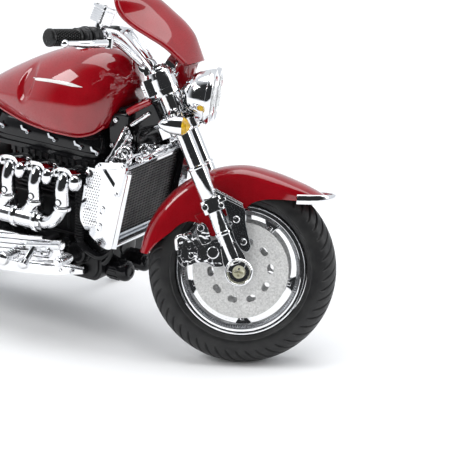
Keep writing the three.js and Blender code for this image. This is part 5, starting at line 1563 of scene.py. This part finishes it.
def add_tail():
    body = shell(REAR_AXLE, REAR_FENDER, 1.4, 0.9)
    block = soft_slab(rectangle(-78, -62, 70.4, 74.2), 0.8, 8.8, side_on(4.4))
    piece("rear_fender_shell", body, "chassis", "rear paint", "rear_fender", smooth=50)
    piece("rear_fender_block", block, "chassis", "black", bevel=0.3)
    for name, side in SIDES.items():
        rows = [wheel_point(REAR_AXLE, 33.4, -15.6, radians(a)) for a in range(70, 143, 4)]
        bead = tube([wheel_point(REAR_AXLE, blended(REAR_FENDER, a)[1] + 0.5,
                                 -blended(REAR_FENDER, a)[2] * 0.985 - 0.1, radians(a))
                     for a in range(56, 158, 4)], 0.55, 14, 3)
        strut = swept(smooth_line([rows[0] + Vector((-1, 0, 2)), rows[6], rows[12], rows[-1]], 6),
                      rectangle(-0.7, 0.5, -1.2, 1.2))
        screws = [bolt(rows[k] + Vector((0, -0.6, 0)), RIGHT, 1.0, 0.8) for k in (2, 8, 14)]
        piece(f"rear_fender_bead_{name}", on_side(side, bead), "chassis", "rear paint")
        piece(f"rear_fender_strut_{name}", on_side(side, strut, *screws), "chassis", "chrome", bevel=0.2)
    lamp = REAR_AXLE + Vector((-36.6, 0, 21.5))
    way = BACKWARD
    shade = turned([(-1.5, 0), (-1.5, 3.4), (0.2, 4.8), (1.0, 5.2), (4.2, 5.3), (4.6, 5.1), (4.6, 0)],
                   facing(lamp, way), 56)
    rows = [(4.3, 0), (4.3, 4.8), (5.0, 4.7), (5.6, 4.1), (6.0, 2.6), (6.2, 0)]
    piece("tail_light_cup", shade, "chassis", "chrome")
    piece("tail_light_lens", turned(rows, facing(lamp, way), 56), "chassis", "red lens", "tail_light")
    bridge = tube([(-117.6, -9.5, 59.4), (-118.6, 0, 59.8), (-117.6, 9.5, 59.4)], 1.3, 18)
    stem = soft_slab([(-120.4, 50), (-118.6, 49), (-116.2, 61), (-118.4, 61.4)], 0.6, 5.0, side_on(2.5))
    plate = soft_slab([(-120.2, 33.6), (-119.4, 33.5), (-118.6, 47.4), (-119.4, 47.6)], 0.3, 17.0,
                      side_on(8.5))
    arm = soft_slab([(-119.2, 45), (-112.0, 44.4), (-112.0, 46.4), (-118.8, 50.6)], 0.6, 4.4, side_on(2.2))
    piece("tail_bracket", merge(bridge, stem, arm), "chassis", "chrome", bevel=0.2)
    piece("number_plate_blank", plate, "chassis", "silver", bevel=0.15)


# ---- swingarm, shocks, stand and frame -----------------------------------------------------------
SHOCK_X, SHOCK_Y = -72, 19.4
PIVOT_X, PIVOT_Z = -36, 38      # the swingarm's pivot


def spring(bottom, top, coil_r, wire_r, coils):
    """A coil spring between two points, with closed ends."""
    place = facing(bottom, top - bottom)
    height = (top - bottom).length
    line = []
    steps = coils * 20
    for k in range(steps + 1):
        t = k / steps
        rise = height * (0.06 * t / 0.1 if t < 0.1 else 0.94 + 0.06 * (t - 0.9) / 0.1 if t > 0.9
                         else 0.06 + 0.88 * (t - 0.1) / 0.8)
        turn = 2 * pi * coils * t
        line.append(place @ Vector((coil_r * cos(turn), coil_r * sin(turn), rise)))
    return swept(line, ellipse(wire_r, sides=12))


def add_shocks():
    for name, side in SIDES.items():
        low, high = Vector((SHOCK_X, -SHOCK_Y, 44)), Vector((SHOCK_X, -SHOCK_Y, 67))
        place = facing(low, high - low)
        body = [(5.4, 0), (5.4, 2.0), (0, 2.0), (0, 2.7), (0.8, 3.1), (1.8, 3.2), (2.0, 2.3), (20.2, 2.3),
                (20.4, 3.2), (21.6, 3.2), (22.4, 2.6), (23, 1.6), (23, 0)]
        eye = turned(symmetric([(1.4, 2.5), (1.9, 2.2), (1.9, 1.1)]),
                     facing(high + Vector((0, 0, 1.6)), RIGHT), 36)
        cap = merge(bolt(high + Vector((0, -1.9, 1.6)), RIGHT, 1.5, 0.9),
                    rod(high + Vector((0, 6, 1.6)), high + Vector((0, -1.8, 1.6)), 1.1))
        piece(f"shock_{name}_body", on_side(side, turned(body, place, 48), eye, cap), "chassis", "chrome",
              f"shock_{name}")
        coil = spring(low + Vector((0, 0, 2.2)), high - Vector((0, 0, 2.8)), 2.85, 0.48, 7)
        piece(f"shock_{name}_spring", on_side(side, coil), "chassis", "gloss black")


def add_swingarm():
    arms = []
    outline = [(-32, 35), (-32, 41), (-38, 42.2), (-60, 39.8), (-86.5, 36.2), (-90.4, 33.6),
               (-90.4, 31.0), (-86.5, 28.8), (-60, 32.2), (-38, 33.6)]
    groove = [(-42, 36.4), (-42, 39.2), (-66, 36.6), (-66, 34.4)]
    for y in (-13.0, 17.0):
        arms.append(soft_slab(outline, 1.4, 4.0, side_on(y)))
        arms.append(soft_slab(groove, 1.0, 4.7, side_on(y + 0.35)))
    arms.append(soft_slab([(-49.5, 34.2), (-45.5, 34), (-45.5, 39.4), (-49.5, 39.4)], 1.0, 30.0,
                          side_on(15)))
    arms.append(turned(symmetric([(12.6, 3.4), (17.2, 3.2), (17.2, 1.9)]),
                       facing((PIVOT_X, 0, PIVOT_Z), LEFT), 40))
    piece("swingarm_arms", merge(*arms), "swingarm", "black", "swingarm", bevel=0.4)
    place = facing(REAR_AXLE + Vector((0, 13.2, 0)), LEFT)
    box_part = turned([(0, 0), (0, 7.6), (0.6, 8.5), (4.4, 8.5), (5.4, 7.6), (6.0, 5.6), (6.2, 3.2),
                       (6.8, 3.0), (6.8, 0)], place, 64)
    ribs = [slab(rectangle(5.4, 8.7, -0.3, 0.3), 5.2, place @ spun(2 * pi * k / 16)) for k in range(16)]
    shaft = tube([(-40, 16.4, 37.8), (-56, 16.6, 36.4), (-78, 16.4, 33.6)], 2.6, 28, 4, [0.95, 1.0, 1.2])
    piece("bevel_box", merge(box_part, shaft, *ribs), "swingarm", "gloss black", bevel=0.2)
    metal = [rod(REAR_AXLE + Vector((0, -18.2, 0)), REAR_AXLE + Vector((0, 18.2, 0)), 1.5),
             nut(REAR_AXLE + Vector((0, -18.0, 0)), RIGHT, 2.4, 1.6),
             nut(REAR_AXLE + Vector((0, 19.8, 0)), LEFT, 2.2, 1.0),
             soft_slab([(-80.4, 31.4), (-78.2, 31.2), (-78.2, 33.4), (-80.4, 33.6)], 0.3, 1.2,
                       side_on(-17.0))]
    for side in SIDES.values():
        lug = soft_slab([(-74.6, 32.6), (-69.4, 32.9), (-70.2, 37.4), (-71.2, 38.4), (-72.8, 38.4),
                         (-73.8, 37.4)], 0.8, 7.2, side_on(21.3 if side > 0 else -14.1))
        metal += [lug, rod((SHOCK_X, side * SHOCK_Y, 36), (SHOCK_X, side * SHOCK_Y, 44.7), 1.2),
                  bolt((SHOCK_X, side * (SHOCK_Y + 1.8), 35.2), LEFT * side, 1.3, 0.8)]
    piece("swingarm_fittings", merge(*metal), "swingarm", "chrome", bevel=0.15)


def add_kickstand():
    pivot, foot = Vector((-6, 17.2, 21)), Vector((2, 37.2, 1))
    line = smooth_line([pivot + Vector((0.4, 1.6, -1.6)), pivot + (foot - pivot) * 0.5,
                        foot + Vector((-0.6, -2.0, 2.4))], 8)
    leg = swept(line, ellipse(1.5, sides=28), [1.2 - 0.35 * k / (len(line) - 1) for k in range(len(line))])
    sole = soft_slab(rectangle(foot.x - 3.0, foot.x + 3.0, foot.y - 1.9, foot.y + 1.9), 1.7, 1.2,
                     Matrix.Identity(4), steps=6)
    ankle = rod((foot.x - 0.4, foot.y - 0.9, 0.8), (foot.x - 0.5, foot.y - 1.9, 3.2), 1.35)
    axis = Vector((0, 1, 1)).normalized()
    eye = turned(symmetric([(1.3, 2.5), (1.3, 0)]), facing(pivot, axis), 36)
    head = merge(bolt(pivot + axis * 1.2, axis, 1.4, 0.8), rod(foot + Vector((-1.2, -3.2, 3.0)),
                                                               foot + Vector((-4.6, -3.2, 3.4)), 0.7))
    piece("kickstand_leg", merge(leg, sole, ankle, eye, head), "kickstand", "black", "kickstand", bevel=0.2)


def add_main_frame():
    spine = [(46, 89.4), (48, 84.6), (36, 79.8), (-17.4, 79.6), (-20, 72), (-62, 70), (-62, 74.3),
             (-45, 74.3), (-37, 78.6), (-18.6, 78.9), (-18.6, 85.4), (36, 85.4)]
    drop = [(-43, 31), (-27, 31), (-26, 50), (-24, 60), (-26, 76.6), (-43, 76.6), (-41, 60), (-43, 46)]
    casting = [soft_slab(spine, 1.2, 8.8, side_on(4.4)), soft_slab(drop, 2.0, 16.0, side_on(8)),
               soft_slab([(-40.4, 42), (-29, 42), (-28, 56), (-30, 68), (-39.4, 68), (-38, 56)], 1.6, 16.9,
                         side_on(8.45))]
    piece("main_frame_casting", merge(*casting), "chassis", "black", "main_frame", bevel=0.5)
    pin = rod((PIVOT_X, -17.4, PIVOT_Z), (PIVOT_X, 17.4, PIVOT_Z), 1.8)
    rails = []
    for side in SIDES.values():
        rails.append(tube([(-34, side * 7.6, 72), (-46, side * 12, 72.6), (-60, side * 15.4, 72),
                           (-76, side * 16, 71.5)], 1.5, 22, 6))
        rails.append(turned(symmetric([(2.2, 2.5), (2.2, 0)]), facing((-72, side * 16.4, 69.6), LEFT), 32))
        rails.append(tube([(-30, side * 7.6, 34), (-29, side * 12.0, 32.0), (-24, side * 13.4, 30)], 1.6,
                          20, 5))
        rails.append(nut((PIVOT_X, side * 17.2, PIVOT_Z), LEFT * side, 2.6, 1.2))
    piece("main_frame_rails", merge(pin, *rails), "chassis", "gloss black")
    lids = []
    for side in SIDES.values():
        y = side * 9.4
        lid = [(-47, 72.4), (-20.4, 76), (-17.6, 68), (-20, 52.4), (-28, 51.4), (-42, 56), (-47.6, 63)]
        lids.append(soft_slab(lid, 3.0, 3.0, side_on(y + 1.5), steps=6))
        lids.append(soft_slab([(x * 0.86 - 4.6, z * 0.86 + 9.0) for x, z in lid], 2.6, 3.8,
                              side_on(y + 1.9), steps=6))
    piece("side_covers", merge(*lids), "chassis", "rear paint", bevel=0.5)
    screws = [bolt((x, side * 11.2, z), LEFT * side, 1.0, 0.7) for side in SIDES.values()
              for x, z in ((-25.6, 70.4), (-25.4, 56.6), (-42.6, 64.4))]
    piece("side_cover_screws", merge(*screws), "chassis", "chrome")


# ---- studio --------------------------------------------------------------------------------------
CAMERA_TURN = radians(36)       # round from straight side-on, towards the front
CAMERA_RISE = radians(19.6)
CAMERA_DISTANCE = 1.0
CAMERA_LENS = 224
CAMERA_SENSOR = 36
WHEEL_RIGHT_OF_MIDDLE = 6.18    # where the front wheel's centre stands in the picture
WHEEL_BELOW_MIDDLE = 15.36


def add_camera():
    across = Vector((cos(CAMERA_TURN), sin(CAMERA_TURN), 0))
    back = Vector((sin(CAMERA_TURN) * cos(CAMERA_RISE), -cos(CAMERA_TURN) * cos(CAMERA_RISE),
                   sin(CAMERA_RISE)))
    upward = back.cross(across)
    middle = TURN @ FRONT_AXLE - across * WHEEL_RIGHT_OF_MIDDLE + upward * WHEEL_BELOW_MIDDLE
    camera = bpy.data.objects.new("camera", bpy.data.cameras.new("camera"))
    camera.data.lens = CAMERA_LENS
    camera.data.sensor_width = CAMERA_SENSOR
    camera.data.clip_start = 0.05
    camera.location = TO_ROW @ middle + back * CAMERA_DISTANCE
    camera.rotation_mode = "QUATERNION"
    camera.rotation_quaternion = (-back).to_track_quat("-Z", "Y")
    bpy.context.scene.collection.objects.link(camera)
    bpy.context.scene.camera = camera


def add_floor():
    half = 6.0
    mesh = bpy.data.meshes.new("floor")
    corners = [(x, y, 0) for x, y in rectangle(-half, half, -half, half)]
    mesh.from_pydata(corners, [], [[0, 1, 2, 3]])
    finish = Finish("pale studio floor", Roughness=0.75, Specular_IOR_Level=0.2)
    finish.coloured(finish.noise(60), (0.3, (0.90, 0.905, 0.915)), (0.7, (0.93, 0.935, 0.94)))
    mesh.materials.append(finish.material)
    floor = bpy.data.objects.new("floor", mesh)
    bpy.context.scene.collection.objects.link(floor)


def softbox(name, position, target, width, height, power, mirrored_in_chrome=True):
    light = bpy.data.lights.new(name, "AREA")
    light.shape = "RECTANGLE"
    light.size, light.size_y = width, height
    light.energy = power
    lamp = bpy.data.objects.new(name, light)
    lamp.location = position
    lamp.rotation_mode = "QUATERNION"
    lamp.rotation_quaternion = (Vector(target) - Vector(position)).to_track_quat("-Z", "Y")
    lamp.visible_glossy = mirrored_in_chrome
    bpy.context.scene.collection.objects.link(lamp)


def add_world():
    """A pale studio room that is dark behind the camera, as the chrome shows it."""
    world = bpy.data.worlds.new("studio")
    world.use_nodes = True
    bpy.context.scene.world = world
    tree = world.node_tree
    nodes = tree.nodes
    way = nodes.new("ShaderNodeTexCoord")
    towards = nodes.new("ShaderNodeVectorMath")
    towards.operation = "DOT_PRODUCT"
    towards.inputs[1].default_value = Vector((0.45, -0.86, 0.22)).normalized()
    dark = nodes.new("ShaderNodeMapRange")
    dark.interpolation_type = "SMOOTHSTEP"
    for name, number in (("From Min", 0.05), ("From Max", 0.5), ("To Min", 0.85), ("To Max", 0.03)):
        dark.inputs[name].default_value = number
    tree.links.new(way.outputs["Generated"], towards.inputs[0])
    tree.links.new(towards.outputs["Value"], dark.inputs["Value"])
    tree.links.new(dark.outputs["Result"], nodes["Background"].inputs["Strength"])
    nodes["Background"].inputs["Color"].default_value = (0.93, 0.96, 1.0, 1)


def add_studio():
    add_camera()
    add_floor()
    add_world()
    centre = TO_ROW @ Vector((60, 0, 60))
    softbox("overhead box", (0.1, 0.2, 1.3), centre, 1.5, 1.0, 12)
    softbox("front fill", (0.3, -1.2, 0.8), centre, 1.8, 1.2, 9, False)
    softbox("left box", (-0.66, -0.66, 0.92), centre, 0.6, 0.4, 5)
    softbox("right box", (1.3, 0.6, 0.8), centre, 0.4, 1.1, 5)
    bpy.context.scene.view_settings.view_transform = "Standard"


BUILDERS = (add_front_wheel, add_rear_wheel, add_fork, add_front_fender, add_yokes, add_handlebar,
            add_headlights, add_signals, add_screen, add_tank, add_head_cover, add_radiator, add_shroud,
            add_crankcase, add_cylinders, add_cam_cover, add_exhaust, add_foot_controls, add_seats,
            add_tail, add_shocks, add_swingarm, add_kickstand, add_main_frame, add_studio)
for build in BUILDERS:
    build()
